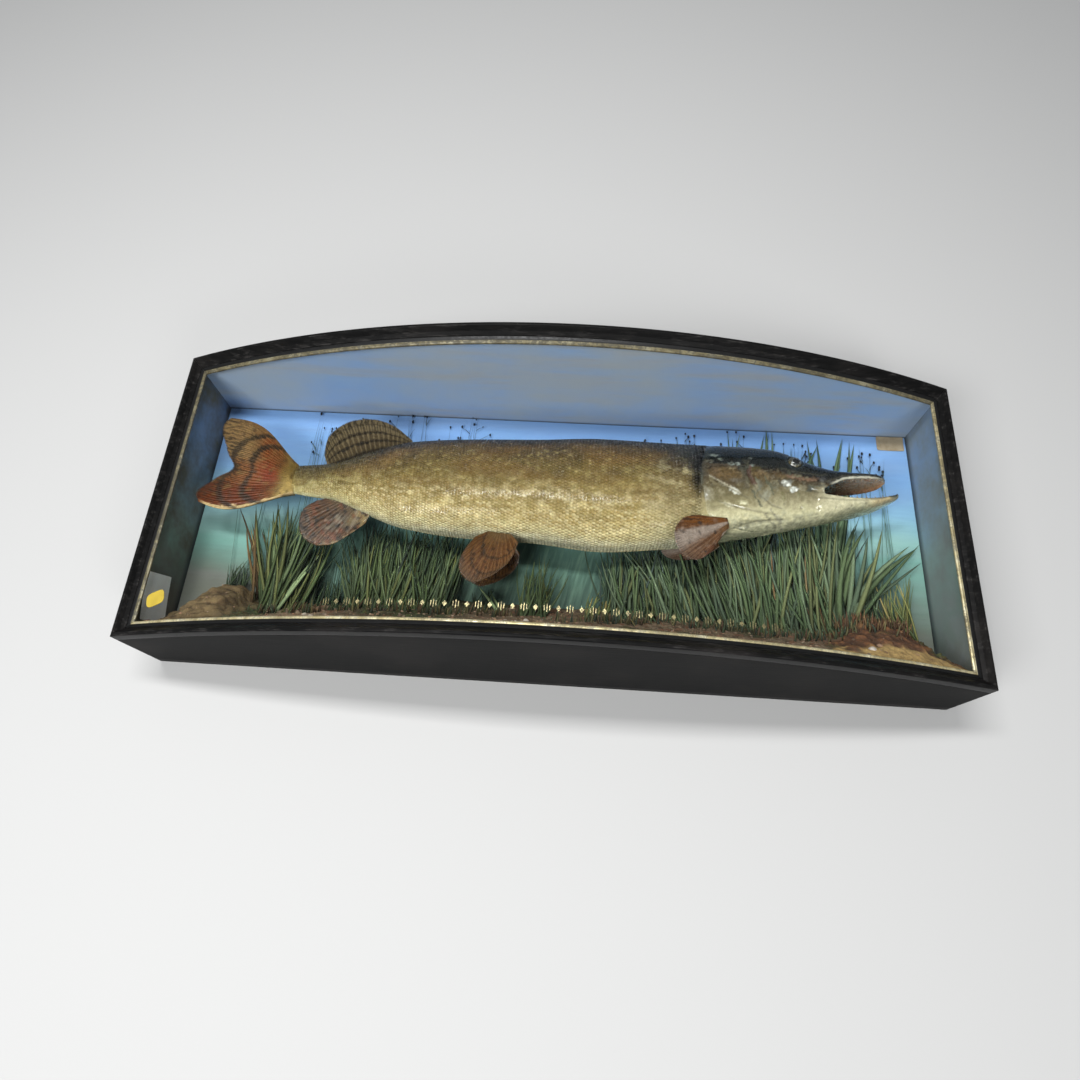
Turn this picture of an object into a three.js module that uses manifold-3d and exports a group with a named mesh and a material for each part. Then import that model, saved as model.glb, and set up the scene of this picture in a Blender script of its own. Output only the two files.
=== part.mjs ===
// A mounted pike in a bow-fronted display case, life size, in millimetres.
// The case lies on its back: +X runs along the case towards the fish's head, +Y towards the top of
// the case, and +Z from the back board out through the bowed glass. The origin is the middle of the
// back board's outer face.
import * as THREE from 'three';
import Module from 'manifold-3d';
import { mergeVertices } from 'three/addons/utils/BufferGeometryUtils.js';

const wasm = await Module();
wasm.setup();

// ---- driving dimensions ----
const GAP = 0.3; // clear space between pieces that touch

const CASE_WIDTH = 1040;
const CASE_HEIGHT = 406;
const SIDE_DEPTH = 125; // back to front at the two ends
const BOW = 105; // how much further the front stands out in the middle
const BOARD = 12;
const BACK = 14;

const RAIL_WIDTH = 13; // the black moulding, seen from the front
const RAIL_DEPTH = 18;
const RAIL_FALL = 10.5; // how far the moulding falls from its outer bead to its inner edge
const BEAD = 4.5;
const SLIP_WIDTH = 8.5; // the gilt slip inside the moulding
const GLASS = 3;
const BOW_STEPS = 20;

const FISH_PLANE = 85; // height of the fish's middle plane over the case's back
const RING = 28; // points round the body
const NOSE_X = 438;
const CHIN_X = 454;
const JAW_ROOT_X = 345; // where the head ends and the two jaws start
const TAIL_ROOT_X = -352;
const TRUNK_CUT_X = -10;
const STEM_CUT_X = -236;
const GILL_COVER_LIFT = 1.6; // how proud the gill cover stands of the body behind it
const EYE_RADIUS = 10;

// ---- shared shaping functions ----
const lerp = (a, b, t) => a + (b - a) * t;
const clamp = THREE.MathUtils.clamp;
const smooth = THREE.MathUtils.smoothstep;

// Reads a table of stations [x, value, value...] with a smooth curve through its rows.
function station(table, x) {
  const last = table.length - 1;
  const at = clamp(x, table[0][0], table[last][0]);
  let i = 0;
  while (i < last - 1 && at > table[i + 1][0]) i += 1;
  const rows = [table[Math.max(i - 1, 0)], table[i], table[i + 1], table[Math.min(i + 2, last)]];
  const span = rows[2][0] - rows[1][0];
  const t = (at - rows[1][0]) / span;
  return rows[1].slice(1).map((value, k) => {
    const next = rows[2][k + 1];
    const rise = next - value;
    const gradient = (from, to) => (
      from[0] === to[0] ? rise : (to[k + 1] - from[k + 1]) / (to[0] - from[0]) * span);
    const before = gradient(rows[0], rows[1]);
    const after = gradient(rows[2], rows[3]);
    const slopeIn = before * rise > 0 ? 2 * before * rise / (before + rise) : 0;
    const slopeOut = after * rise > 0 ? 2 * after * rise / (after + rise) : 0;
    const t2 = t * t;
    const t3 = t2 * t;
    return (2 * t3 - 3 * t2 + 1) * value + (t3 - 2 * t2 + t) * slopeIn
      + (3 * t2 - 2 * t3) * next + (t3 - t2) * slopeOut;
  });
}

// Height of the bowed front over the case's back.
const BOW_RADIUS = ((CASE_WIDTH / 2) ** 2 + BOW ** 2) / (2 * BOW);
function frontZ(x) {
  return SIDE_DEPTH + BOW - BOW_RADIUS + Math.sqrt(BOW_RADIUS ** 2 - x ** 2);
}

// A closed geometry from shared vertices and triangles, turned so that its faces point out.
function closedBody(points, triangles) {
  let volume = 0;
  for (const [a, b, c] of triangles) {
    volume += points[a].dot(new THREE.Vector3().crossVectors(points[b], points[c]));
  }
  const index = triangles.flatMap(([a, b, c]) => (volume > 0 ? [a, b, c] : [a, c, b]));
  const geometry = new THREE.BufferGeometry();
  const places = points.flatMap((p) => p.toArray());
  geometry.setAttribute('position', new THREE.Float32BufferAttribute(places, 3));
  geometry.setIndex(index);
  geometry.computeVertexNormals();
  return geometry;
}

// The triangles that close one end ring. A ring with an axis is cut up flat, as it looks along that
// axis. A ring with none gets a fan from its middle, which is added to the points.
function endFaces(points, start, count, axis) {
  const ring = points.slice(start, start + count);
  if (!axis) {
    const middle = ring.reduce((sum, p) => sum.add(p), new THREE.Vector3()).divideScalar(count);
    const hub = points.push(middle) - 1;
    return ring.map((_, j) => [hub, start + j, start + (j + 1) % count]);
  }
  const flat = { x: (p) => [p.y, p.z], y: (p) => [p.z, p.x], z: (p) => [p.x, p.y] }[axis];
  const outline = ring.map((p) => new THREE.Vector2(...flat(p)));
  if (THREE.ShapeUtils.isClockWise(outline)) {
    return THREE.ShapeUtils.triangulateShape(outline.reverse(), [])
      .map((face) => face.map((k) => start + count - 1 - k).reverse());
  }
  return THREE.ShapeUtils.triangulateShape(outline, []).map((face) => face.map((k) => start + k));
}

// A skin over rings of equal length, its two ends closed.
function loft(rings, axis) {
  const points = rings.flat();
  const count = rings[0].length;
  const triangles = [];
  for (let i = 0; i < rings.length - 1; i += 1) {
    for (let j = 0; j < count; j += 1) {
      const a = i * count + j;
      const b = i * count + (j + 1) % count;
      triangles.push([a, b, b + count], [a, b + count, a + count]);
    }
  }
  const last = (rings.length - 1) * count;
  const first = endFaces(points, 0, count, axis).map((face) => face.reverse());
  return closedBody(points, [...triangles, ...first, ...endFaces(points, last, count, axis)]);
}

function toSolid(geometry) {
  const bare = new THREE.BufferGeometry();
  bare.setAttribute('position', geometry.getAttribute('position').clone());
  if (geometry.index) bare.setIndex(geometry.index.clone());
  const merged = mergeVertices(bare, 1e-4);
  return new wasm.Manifold(new wasm.Mesh({
    numProp: 3,
    vertProperties: new Float32Array(merged.getAttribute('position').array),
    triVerts: new Uint32Array(merged.index.array),
  }));
}

function fromSolid(solid) {
  const mesh = solid.getMesh();
  const geometry = new THREE.BufferGeometry();
  geometry.setAttribute('position', new THREE.Float32BufferAttribute(mesh.vertProperties, 3));
  geometry.setIndex([...mesh.triVerts]);
  geometry.computeVertexNormals();
  return geometry;
}

// A cut leaves slivers narrower than any tool could make, which are closed up.
const SLIVER = 0.04;
const cutAway = (geometry, ...tools) => {
  const cut = tools.reduce((solid, tool) => solid.subtract(toSolid(tool)), toSolid(geometry));
  return fromSolid(cut.simplify(SLIVER));
};
const joined = (geometry, ...others) => (
  fromSolid(others.reduce((solid, other) => solid.add(toSolid(other)), toSolid(geometry))));

const model = new THREE.Group();

function addPiece(name, geometry, material) {
  const mesh = new THREE.Mesh(geometry, material.clone());
  mesh.name = name;
  model.add(mesh);
  return mesh;
}

const finish = (color, roughness, metalness = 0, extra = {}) => (
  new THREE.MeshStandardMaterial({ color, roughness, metalness, ...extra }));
const EBONISED = finish(0x16161a, 0.5);
const SKY_PAINT = finish(0x86a4cc, 0.8);
const GILT = finish(0x9a8244, 0.42, 0.8);
const CLEAR_GLASS = finish(0xe6efef, 0.06, 0, { transparent: true, opacity: 0.2 });
const BANK = finish(0x8a7350, 0.95);
const PAPER = finish(0xb69a63, 0.85);
const CARD = finish(0x8b8d8e, 0.7);
const YELLOW = finish(0xf2dd3c, 0.5);
const IRON = finish(0x3a3734, 0.5, 0.8);
const OLIVE_SKIN = finish(0x8b7a42, 0.35);
const DARK_SKIN = finish(0x33352a, 0.35);
const JAW_SKIN = finish(0xc2b078, 0.35);
const RUST_FIN = finish(0x8a5432, 0.5);
const BROWN_FIN = finish(0x7a6a48, 0.5);
const GLASS_EYE = finish(0xb79a3a, 0.1);

// ---- the case: boards ----
const half = { x: CASE_WIDTH / 2, y: CASE_HEIGHT / 2 };

function boxBetween([x0, x1], [y0, y1], [z0, z1]) {
  return new THREE.BoxGeometry(x1 - x0, y1 - y0, z1 - z0)
    .translate((x0 + x1) / 2, (y0 + y1) / 2, (z0 + z1) / 2);
}

// A board whose front edge follows the bow, lying in the XZ plane between two heights in Y.
function bowedBoard([y0, y1]) {
  const front = RAIL_DEPTH + GAP;
  const outline = (y) => [
    new THREE.Vector3(-half.x, y, BACK + GAP),
    ...Array.from({ length: BOW_STEPS + 1 }, (_, i) => {
      const x = lerp(-half.x, half.x, i / BOW_STEPS);
      return new THREE.Vector3(x, y, frontZ(x) - front);
    }),
    new THREE.Vector3(half.x, y, BACK + GAP),
  ];
  return loft([outline(y0), outline(y1)], 'y');
}

addPiece('back_board', boxBetween([-half.x, half.x], [-half.y, half.y], [0, BACK]), SKY_PAINT);
addPiece('top_board', bowedBoard([half.y - BOARD, half.y]), EBONISED);
addPiece('bottom_board', bowedBoard([-half.y, BOARD - half.y]), EBONISED);
for (const [side, name] of [[-1, 'left'], [1, 'right']]) {
  const faces = [side * half.x, side * (half.x - BOARD)].sort((a, b) => a - b);
  const reach = half.y - BOARD - GAP;
  const depth = [BACK + GAP, SIDE_DEPTH - RAIL_DEPTH - GAP];
  addPiece(`${name}_side`, boxBetween(faces, [-reach, reach], depth), EBONISED);
}

// ---- the case: frame, gilt slip and glass ----
// Profile points are [distance in from the outer edge, height over the bowed front].
const RAIL_PROFILE = [
  [0, -RAIL_DEPTH], [0, -1.4], [1.4, 0], [BEAD, -0.4], [BEAD + 4, -RAIL_FALL + 3.5],
  [RAIL_WIDTH - 1, -RAIL_FALL], [RAIL_WIDTH, -RAIL_FALL - 1], [RAIL_WIDTH, -RAIL_DEPTH],
];
const SLIP_IN = RAIL_WIDTH + GAP;
const SLIP_OUT = SLIP_IN + SLIP_WIDTH;
const SLIP_PROFILE = [
  [SLIP_IN, -RAIL_DEPTH], [SLIP_IN, -RAIL_FALL - 1], [SLIP_OUT - 2, -RAIL_FALL - 3.6],
  [SLIP_OUT, -RAIL_FALL - 5], [SLIP_OUT, -RAIL_DEPTH],
];

// One length of a mitred frame. Both rails and stiles follow the bow of the front.
function frameLength(profile, side, alongX, steps) {
  const rings = Array.from({ length: steps + 1 }, (_, i) => {
    const t = lerp(-1, 1, i / steps);
    return profile.map(([inward, lift]) => {
      const ends = GAP / 2;
      const x = alongX ? t * (half.x - inward - ends) : side * (half.x - inward);
      const y = alongX ? side * (half.y - inward) : t * (half.y - inward - ends);
      return new THREE.Vector3(x, y, frontZ(x) + lift);
    });
  });
  return loft(rings, alongX ? 'x' : 'y');
}

const FRONT_PARTS = [['frame', RAIL_PROFILE, EBONISED], ['gilt_slip', SLIP_PROFILE, GILT]];
for (const [kind, profile, material] of FRONT_PARTS) {
  addPiece(`${kind}_top`, frameLength(profile, 1, true, BOW_STEPS), material);
  addPiece(`${kind}_bottom`, frameLength(profile, -1, true, BOW_STEPS), material);
  addPiece(`${kind}_left`, frameLength(profile, -1, false, 1), material);
  addPiece(`${kind}_right`, frameLength(profile, 1, false, 1), material);
}

// A sheet that follows the bow, between two lifts off the front.
function bowedSheet([x0, x1], [y0, y1], [low, high], steps) {
  const rings = Array.from({ length: steps + 1 }, (_, i) => {
    const x = lerp(x0, x1, i / steps);
    return [[y0, low], [y1, low], [y1, high], [y0, high]]
      .map(([y, lift]) => new THREE.Vector3(x, y, frontZ(x) + lift));
  });
  return loft(rings, 'x');
}

const GLASS_TOP = -RAIL_DEPTH - GAP;
const GLASS_BACK = GLASS_TOP - GLASS;
const inside = { x: half.x - BOARD - GAP, y: half.y - BOARD - GAP };
addPiece(
  'glass_pane',
  bowedSheet([-inside.x, inside.x], [-inside.y, inside.y], [GLASS_BACK, GLASS_TOP], BOW_STEPS),
  CLEAR_GLASS,
);

// ---- papers: a shop label on the back, a card on the left wall, a dot on the glass ----
const PAPER_THICK = 0.6;
const LABEL = { x: [466, 505], y: [168, 191] };
const labelHeights = [BACK + GAP, BACK + GAP + PAPER_THICK];
addPiece('paper_label', boxBetween(LABEL.x, LABEL.y, labelHeights), PAPER);
const WALL_CARD = { tall: 62, deep: 57, tilt: 0.2, y: -136, z: 73 };
addPiece('wall_card', new THREE.BoxGeometry(PAPER_THICK, WALL_CARD.tall, WALL_CARD.deep)
  .rotateX(WALL_CARD.tilt)
  .translate(-inside.x + PAPER_THICK / 2, WALL_CARD.y, WALL_CARD.z), CARD);
const DOT = { x: -477, y: -152.5, wide: 14, tall: 9.5, tilt: 0.3 };
const dotRing = (lift) => Array.from({ length: 20 }, (_, i) => {
  const angle = Math.PI * i / 10;
  const square = (wave) => Math.sign(wave) * Math.abs(wave) ** 0.6;
  const point = new THREE.Vector2(DOT.wide * square(Math.cos(angle)), DOT.tall * square(Math.sin(angle)))
    .rotateAround(new THREE.Vector2(), DOT.tilt);
  const x = DOT.x + point.x;
  return new THREE.Vector3(x, DOT.y + point.y, frontZ(x) + lift);
});
const DOT_BASE = GLASS_TOP + GAP;
addPiece('glass_dot', loft([dotRing(DOT_BASE), dotRing(DOT_BASE + PAPER_THICK)], 'z'), YELLOW);

// ---- the modelled bank along the bottom of the case ----
// How high the bank stands against the back board: [x, height of its crest].
const BANK_CREST = [
  [-508, -150], [-470, -124], [-425, -102], [-392, -106], [-340, -114], [-220, -100], [-100, -98],
  [20, -102], [110, -93], [200, -92], [290, -102], [370, -94], [440, -101], [508, -136],
];
const BANK_FRONT = -181; // where it meets the glass
function bankHeight(x, share) {
  const [crest] = station(BANK_CREST, x);
  const swells = 4 * Math.sin(x / 17) * Math.sin(share * 7 + x / 40);
  const lumps = swells + 2.5 * Math.sin(x / 7.3 + share * 11);
  return lerp(crest, BANK_FRONT, share ** 0.8) + lumps * Math.sin(Math.PI * Math.min(share + 0.12, 1));
}

function bankLength([x0, x1], columns) {
  const rows = 4;
  const floor = -inside.y;
  const rings = Array.from({ length: columns + 1 }, (_, i) => {
    const x = lerp(x0, x1, i / columns);
    const near = frontZ(x) + GLASS_BACK - GAP - 0.2;
    const far = BACK + GAP;
    const crest = Array.from({ length: rows + 1 }, (_row, k) => (
      new THREE.Vector3(x, bankHeight(x, k / rows), lerp(far, near, k / rows))));
    return [new THREE.Vector3(x, floor, far), ...crest, new THREE.Vector3(x, floor, near)];
  });
  return loft(rings, 'x');
}

// Reeds and grass rooted in the bank, in stands whose tops are a row of tapering blades that lean
// back behind the fish. Each stand gives where it starts and ends, how far its tips lean along the
// case, and how high they reach.
const REED_STANDS = [
  { from: -428, to: -408, lean: 0, tips: [-60] },
  { from: -404, to: -256, lean: 0, tips: [26, 36, 24, -2, -16, -14] },
  { from: -246, to: -122, lean: 0, tips: [-14, -10, -16, -12, -20, -24] },
  { from: -29, to: 1, lean: 0, tips: [-32] },
  { from: 54, to: 246, lean: 0, tips: [-50, -26, -24, -31, -32, -31, -29, -8] },
  { from: 254, to: 386, lean: 0, tips: [6, 16, 24, 30, 40, 52] },
  { from: 388, to: 408, lean: 55, tips: [44] },
  { from: 438, to: 472, lean: 0, tips: [-36, -44] },
];
const REED_FOOT = 0.34; // how far out from the back board they are rooted, as a share of the bank
const REED_TIP_Z = BACK + 10;
const REED_SINK = 4;
function reedStand({ from, to, lean, tips }) {
  const foot = (x) => new THREE.Vector3(
    x,
    bankHeight(x, REED_FOOT) - REED_SINK,
    lerp(BACK, frontZ(x) + GLASS_BACK, REED_FOOT),
  );
  const tipAt = (x, height) => new THREE.Vector3(x + lean, height, REED_TIP_Z);
  const edges = Array.from({ length: tips.length + 1 }, (_, k) => lerp(from, to, k / tips.length));
  const lowest = (k) => Math.min(tips[Math.max(k - 1, 0)], tips[Math.min(k, tips.length - 1)]);
  const feet = edges.map(foot);
  const forks = edges.map((x, k) => foot(x).lerp(tipAt(x, lowest(k)), 0.5));
  const tops = tips.map((height, k) => tipAt((edges[k] + edges[k + 1]) / 2, height));
  const middle = [...feet, ...forks, ...tops];
  const half = middle.map((_, i) => (i < feet.length ? 3 : i < feet.length * 2 ? 2.4 : 0.6));
  const sheets = [1, -1].flatMap((side) => middle.map((p, i) => p.clone().setZ(p.z + side * half[i])));
  const back = middle.length;
  const fork = feet.length;
  const top = fork * 2;
  const front = [];
  const rim = [[fork + tips.length, tips.length], [0, fork]];
  tips.forEach((_, k) => {
    front.push([k, k + 1, fork + k + 1], [k, fork + k + 1, fork + k], [fork + k, fork + k + 1, top + k]);
    rim.push([k + 1, k], [top + k, fork + k + 1], [fork + k, top + k]);
  });
  return closedBody(sheets, [
    ...front,
    ...front.map(([a, b, c]) => [back + a, back + c, back + b]),
    ...rim.flatMap(([a, b]) => [[a, b, back + b], [a, back + b, back + a]]),
  ]);
}

const BANK_CUTS = [-inside.x + PAPER_THICK + GAP, -250, 250, inside.x]; // clear of the wall card
['left', 'middle', 'right'].forEach((name, i) => {
  const ends = [BANK_CUTS[i] + GAP / 2, BANK_CUTS[i + 1] - GAP / 2];
  const stands = REED_STANDS.filter(({ from }) => from > ends[0] && from < ends[1]);
  addPiece(`bank_${name}`, joined(bankLength(ends, i === 1 ? 14 : 10), ...stands.map(reedStand)), BANK);
});

// ---- the pike's body ----
// Stations along the body: [x, back, belly, half thickness, squareness of back, of belly].
const BODY = [
  [-352, 60, 17, 6.5, 2, 2],
  [-330, 62, 14, 11, 2, 2],
  [-300, 66, 11, 16, 2, 2],
  [-258, 83, -4, 24, 2.1, 2.1],
  [-197, 102, -24, 34, 2.2, 2.2],
  [-121, 108, -32, 42, 2.3, 2.3],
  [-24, 112, -34, 46, 2.3, 2.3],
  [61, 117, -41, 49, 2.3, 2.3],
  [136, 115, -34, 49, 2.3, 2.3],
  [187, 114, -27, 48, 2.3, 2.3],
  [238, 113, -16, 45, 2.5, 2.2],
  [278, 111, -7, 40, 2.8, 2.1],
  [304, 105, -1, 37, 3, 2],
  [325, 96, 5, 35, 3, 2],
  [345, 89, 10, 32.5, 2.8, 2],
];

// A point of the body's surface: turn 0 is the back, 0.25 the near side, 0.5 the belly.
function bodyPoint(x, turn, lift = 0) {
  const [back, belly, thick, squareBack, squareBelly] = station(BODY, x);
  const angle = turn * 2 * Math.PI;
  const up = Math.cos(angle);
  const out = Math.sin(angle);
  const power = 2 / (up > 0 ? squareBack : squareBelly);
  const middle = (back + belly) / 2;
  const tall = (back - belly) / 2 + lift;
  return new THREE.Vector3(
    x,
    middle + tall * Math.sign(up) * Math.abs(up) ** power,
    FISH_PLANE + (thick + lift) * Math.sign(out) * Math.abs(out) ** power,
  );
}

// Where the gill covers end, from the back of the head round to the throat: [turn, x].
const GILL_EDGE = [[0, 206], [0.12, 196], [0.25, 186], [0.33, 188], [0.4, 206], [0.45, 240], [0.5, 276]];
const gillEdge = (turn) => station(GILL_EDGE, turn > 0.5 ? 1 - turn : turn)[0];
const straight = (x) => () => x;

// A length of the body between two edges, each a function of the turn round it. A length that
// stands proud of the one behind it starts with a narrow step.
function bodyLength(from, to, rings, lift) {
  const ringAt = (share, proud) => Array.from({ length: RING }, (_, j) => {
    const turn = j / RING;
    const x = lerp(from(turn), to(turn), share);
    return bodyPoint(x, turn, proud ? proud(x, turn) : 0);
  });
  const skin = Array.from({ length: rings + 1 }, (_, i) => ringAt(i / rings, lift));
  return loft(lift ? [ringAt(0), ...skin] : skin);
}

const gillLift = (x, turn) => GILL_COVER_LIFT * (1 - smooth(x, gillEdge(turn) + 8, gillEdge(turn) + 60));

addPiece(
  'trunk_front',
  bodyLength(straight(TRUNK_CUT_X + GAP), (turn) => gillEdge(turn) - GAP, 9),
  OLIVE_SKIN,
);
addPiece('trunk_rear', bodyLength(straight(STEM_CUT_X + GAP), straight(TRUNK_CUT_X), 8), OLIVE_SKIN);
addPiece('tail_stem', bodyLength(straight(TAIL_ROOT_X), straight(STEM_CUT_X), 6), OLIVE_SKIN);

// ---- the jaws ----
// [x, half width, outer height, height of the lips, depth of the hollow between them, roundness].
const UPPER_JAW = [
  [JAW_ROOT_X, 32.5, 89, 46, 14, 0.66],
  [363, 29.5, 84.5, 57, 11, 0.7],
  [380, 28, 82, 65, 8, 0.75],
  [403, 26.5, 81.5, 68, 6, 0.8],
  [420, 22.5, 82, 70, 5, 0.8],
  [431, 16, 81, 71.5, 4, 0.8],
  [436, 9, 79, 72.5, 2, 0.9],
  [NOSE_X, 3, 77, 74, 0.6, 1],
];
const LOWER_JAW = [
  [JAW_ROOT_X, 32.5, 10, 41, 14, 1.05],
  [378, 28.5, 20.5, 39.5, 10, 0.95],
  [402, 24.5, 28, 41.5, 8, 0.85],
  [422, 20, 35.5, 45.5, 6, 0.8],
  [436, 15, 42.5, 50.5, 4.5, 0.8],
  [447, 10, 48.5, 55.5, 3, 0.8],
  [452, 6, 52, 59, 1.2, 0.9],
  [CHIN_X, 2.5, 54.5, 59, 0.4, 1],
];
const LIP = 4; // thickness of the jaw's rim

function jawRing(table, x) {
  const [wide, outer, rim, hollow, roundness] = station(table, x);
  const lip = Math.min(LIP, wide * 0.3);
  const away = Math.sign(outer - rim);
  const arc = (count, radius, from, rise, power) => Array.from({ length: count + 1 }, (_, i) => {
    const angle = Math.PI * i / count;
    const across = Math.cos(angle);
    const along = Math.sin(angle);
    return [radius * Math.sign(across) * Math.abs(across) ** power, from + rise * along ** power];
  });
  const outside = arc(10, wide, rim + away * 1.2, outer - rim - away * 1.2, roundness);
  const depth = Math.min(hollow, Math.abs(outer - rim) - 3);
  const within = arc(6, wide - lip, rim + away * 0.4, away * depth, 0.9).reverse();
  const lips = [[-(wide - lip * 0.45), rim], [wide - lip * 0.45, rim]];
  return [...outside, lips[0], ...within, lips[1]]
    .map(([z, y]) => new THREE.Vector3(x, y, FISH_PLANE + z));
}

function jawLength(table, steps) {
  const from = JAW_ROOT_X + GAP;
  const to = table.at(-1)[0];
  const rings = Array.from({ length: steps + 1 }, (_, i) => (
    jawRing(table, lerp(from, to, Math.sin((i / steps) * Math.PI / 2)))));
  return loft(rings, 'x');
}

// A tooth: a small cone, slightly buried in the jaw it grows from, leaning back down the throat.
function tooth(x, y, z, length, towards) {
  return new THREE.ConeGeometry(length * 0.22, length + 2, 5)
    .translate(0, (length + 2) / 2 - 2, 0)
    .rotateZ(towards > 0 ? 0.3 : Math.PI - 0.3)
    .translate(x, y, z);
}

function teethOf(table, towards, places) {
  return places.flatMap(([x, length]) => [-1, 1].map((side) => {
    const [wide, , rim] = station(table, x);
    return tooth(x, rim, FISH_PLANE + side * (wide - Math.min(LIP, wide * 0.3) * 0.6), length, towards);
  }));
}

const UPPER_TEETH = [[376, 2.4], [388, 2.8], [400, 3], [411, 3.2], [421, 3], [430, 2.6]];
const LOWER_TEETH = [[366, 3.6], [379, 4.4], [392, 4.8], [405, 4.4], [417, 3.6], [428, 3], [438, 2.4]];
const tongue = new THREE.SphereGeometry(1, 10, 6).scale(32, 4, 10).rotateZ(0.14)
  .translate(384, 32, FISH_PLANE);

addPiece('upper_jaw', joined(jawLength(UPPER_JAW, 9), ...teethOf(UPPER_JAW, -1, UPPER_TEETH)), DARK_SKIN);
addPiece(
  'lower_jaw',
  joined(jawLength(LOWER_JAW, 9), tongue, ...teethOf(LOWER_JAW, 1, LOWER_TEETH)),
  JAW_SKIN,
);

// ---- the head, with the throat behind the jaws and a socket for each eye ----
const EYE = { x: 312, y: 82.5, out: 29 }; // centre of the near eye, out from the middle plane
const eyePlaces = [['near', 1], ['far', -1]];
const eyeball = (side, radius) => new THREE.SphereGeometry(radius, 12, 8)
  .scale(1, 0.9, 0.8)
  .translate(EYE.x, EYE.y, FISH_PLANE + side * EYE.out);
const throat = new THREE.SphereGeometry(1, 14, 8).scale(46, 15, 25)
  .rotateZ(-0.05)
  .translate(JAW_ROOT_X + 6, 43, FISH_PLANE);
const headSkin = bodyLength(gillEdge, straight(JAW_ROOT_X), 9, gillLift);
const sockets = eyePlaces.map(([, side]) => eyeball(side, EYE_RADIUS + GAP));
addPiece('head', cutAway(headSkin, throat, ...sockets), DARK_SKIN);
for (const [name, side] of eyePlaces) {
  addPiece(`eye_${name}`, eyeball(side, EYE_RADIUS), GLASS_EYE);
}

// ---- the fins ----
// A blade of rays between a root line and a curve through the ray tips. Every second line of points
// is a ray and stands thicker than the web between. bend pushes a ray's middle sideways.
function finBlade({ root, tips, rays, steps, thickRoot, thickTip, bend = () => [0, 0] }) {
  const rootLine = new THREE.CatmullRomCurve3(root.map((p) => new THREE.Vector3(...p)));
  const tipLine = new THREE.CatmullRomCurve3(tips.map((p) => new THREE.Vector3(...p)));
  const columns = rays * 2;
  const near = [];
  const far = [];
  for (let i = 0; i <= columns; i += 1) {
    const t = i / columns;
    const from = root.length > 1 ? rootLine.getPoint(t) : rootLine.points[0].clone();
    const to = tipLine.getPointAt(t);
    const [bendX, bendY] = bend(t);
    const ridge = i % 2 ? 1 : 0.55;
    for (let k = 0; k <= steps; k += 1) {
      const s = k / steps;
      const swell = Math.sin(Math.PI * s ** 1.4);
      const point = from.clone().lerp(to, s);
      point.x += bendX * swell;
      point.y += bendY * swell;
      const thick = lerp(thickRoot, thickTip, s ** 0.7) * (k === 0 ? 1 : ridge) / 2;
      near.push(point.clone().setZ(point.z + thick));
      far.push(point.clone().setZ(point.z - thick));
    }
  }
  const row = steps + 1;
  const back = near.length;
  const triangles = [];
  for (let i = 0; i < columns; i += 1) {
    for (let k = 0; k < steps; k += 1) {
      const a = i * row + k;
      const quad = [a, a + row, a + row + 1, a + 1];
      triangles.push([quad[0], quad[1], quad[2]], [quad[0], quad[2], quad[3]]);
      triangles.push([back + quad[0], back + quad[2], back + quad[1]]);
      triangles.push([back + quad[0], back + quad[3], back + quad[2]]);
    }
  }
  const rim = [];
  for (let k = 0; k < steps; k += 1) rim.push([k, k + 1]);
  for (let i = 0; i < columns; i += 1) rim.push([i * row + steps, (i + 1) * row + steps]);
  for (let k = steps; k > 0; k -= 1) rim.push([columns * row + k, columns * row + k - 1]);
  for (let i = columns; i > 0; i -= 1) rim.push([i * row, (i - 1) * row]);
  for (const [a, b] of rim) triangles.push([a, b, back + b], [a, back + b, back + a]);
  return closedBody([...near, ...far], triangles);
}

// The roots are let into the body and cut back to its surface, less the gap.
const ROOT_DEPTH = 3;
const onBack = (x) => [x, station(BODY, x)[0] - ROOT_DEPTH, FISH_PLANE];
const onBelly = (x) => [x, station(BODY, x)[1] + ROOT_DEPTH, FISH_PLANE];
const inPlane = ([x, y]) => [x, y, FISH_PLANE];
const CLEAR = GAP + 0.1;
const bodyMould = bodyLength(straight(TAIL_ROOT_X), straight(JAW_ROOT_X), 60, () => CLEAR);
const headMould = bodyLength(
  (turn) => gillEdge(turn) - CLEAR,
  straight(JAW_ROOT_X),
  18,
  (x, turn) => gillLift(x, turn) + CLEAR,
);
const addFin = (name, blade, material) => (
  addPiece(name, cutAway(finBlade(blade), bodyMould, headMould), material));

addFin('dorsal_fin', {
  root: [onBack(-199), onBack(-228), onBack(-256), onBack(-284), onBack(-312)],
  tips: [[-201, 108], [-226, 128], [-250, 138], [-274, 140], [-296, 134], [-312, 122], [-321, 104],
    [-320, 78]].map(inPlane),
  rays: 11,
  steps: 3,
  thickRoot: 4,
  thickTip: 1.2,
}, BROWN_FIN);

addFin('anal_fin', {
  root: [onBelly(-242), onBelly(-256), onBelly(-270), onBelly(-284), onBelly(-300)],
  tips: [[-247, -22], [-264, -38], [-282, -52], [-301, -57], [-319, -53], [-332, -40], [-337, -22],
    [-333, -4], [-318, 8]].map(inPlane),
  rays: 10,
  steps: 3,
  thickRoot: 4,
  thickTip: 1.2,
}, RUST_FIN);

const TAIL_BULGE_TOP = 15;
const TAIL_BULGE_BOTTOM = -25;
addPiece('tail_fin', finBlade({
  root: [[TAIL_ROOT_X - GAP, 59], [TAIL_ROOT_X - GAP, 38], [TAIL_ROOT_X - GAP, 17]].map(inPlane),
  tips: [[-474, 130], [-468, 104], [-455, 74], [-443, 51], [-464, 34], [-489, 14], [-481, -3]]
    .map(inPlane),
  rays: 13,
  steps: 4,
  thickRoot: 8,
  thickTip: 1.4,
  bend: (t) => {
    const edge = lerp(TAIL_BULGE_TOP, TAIL_BULGE_BOTTOM, t);
    return t < 0.5 ? [edge * 0.5, edge * 0.9] : [0, edge];
  },
}), RUST_FIN);

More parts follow.
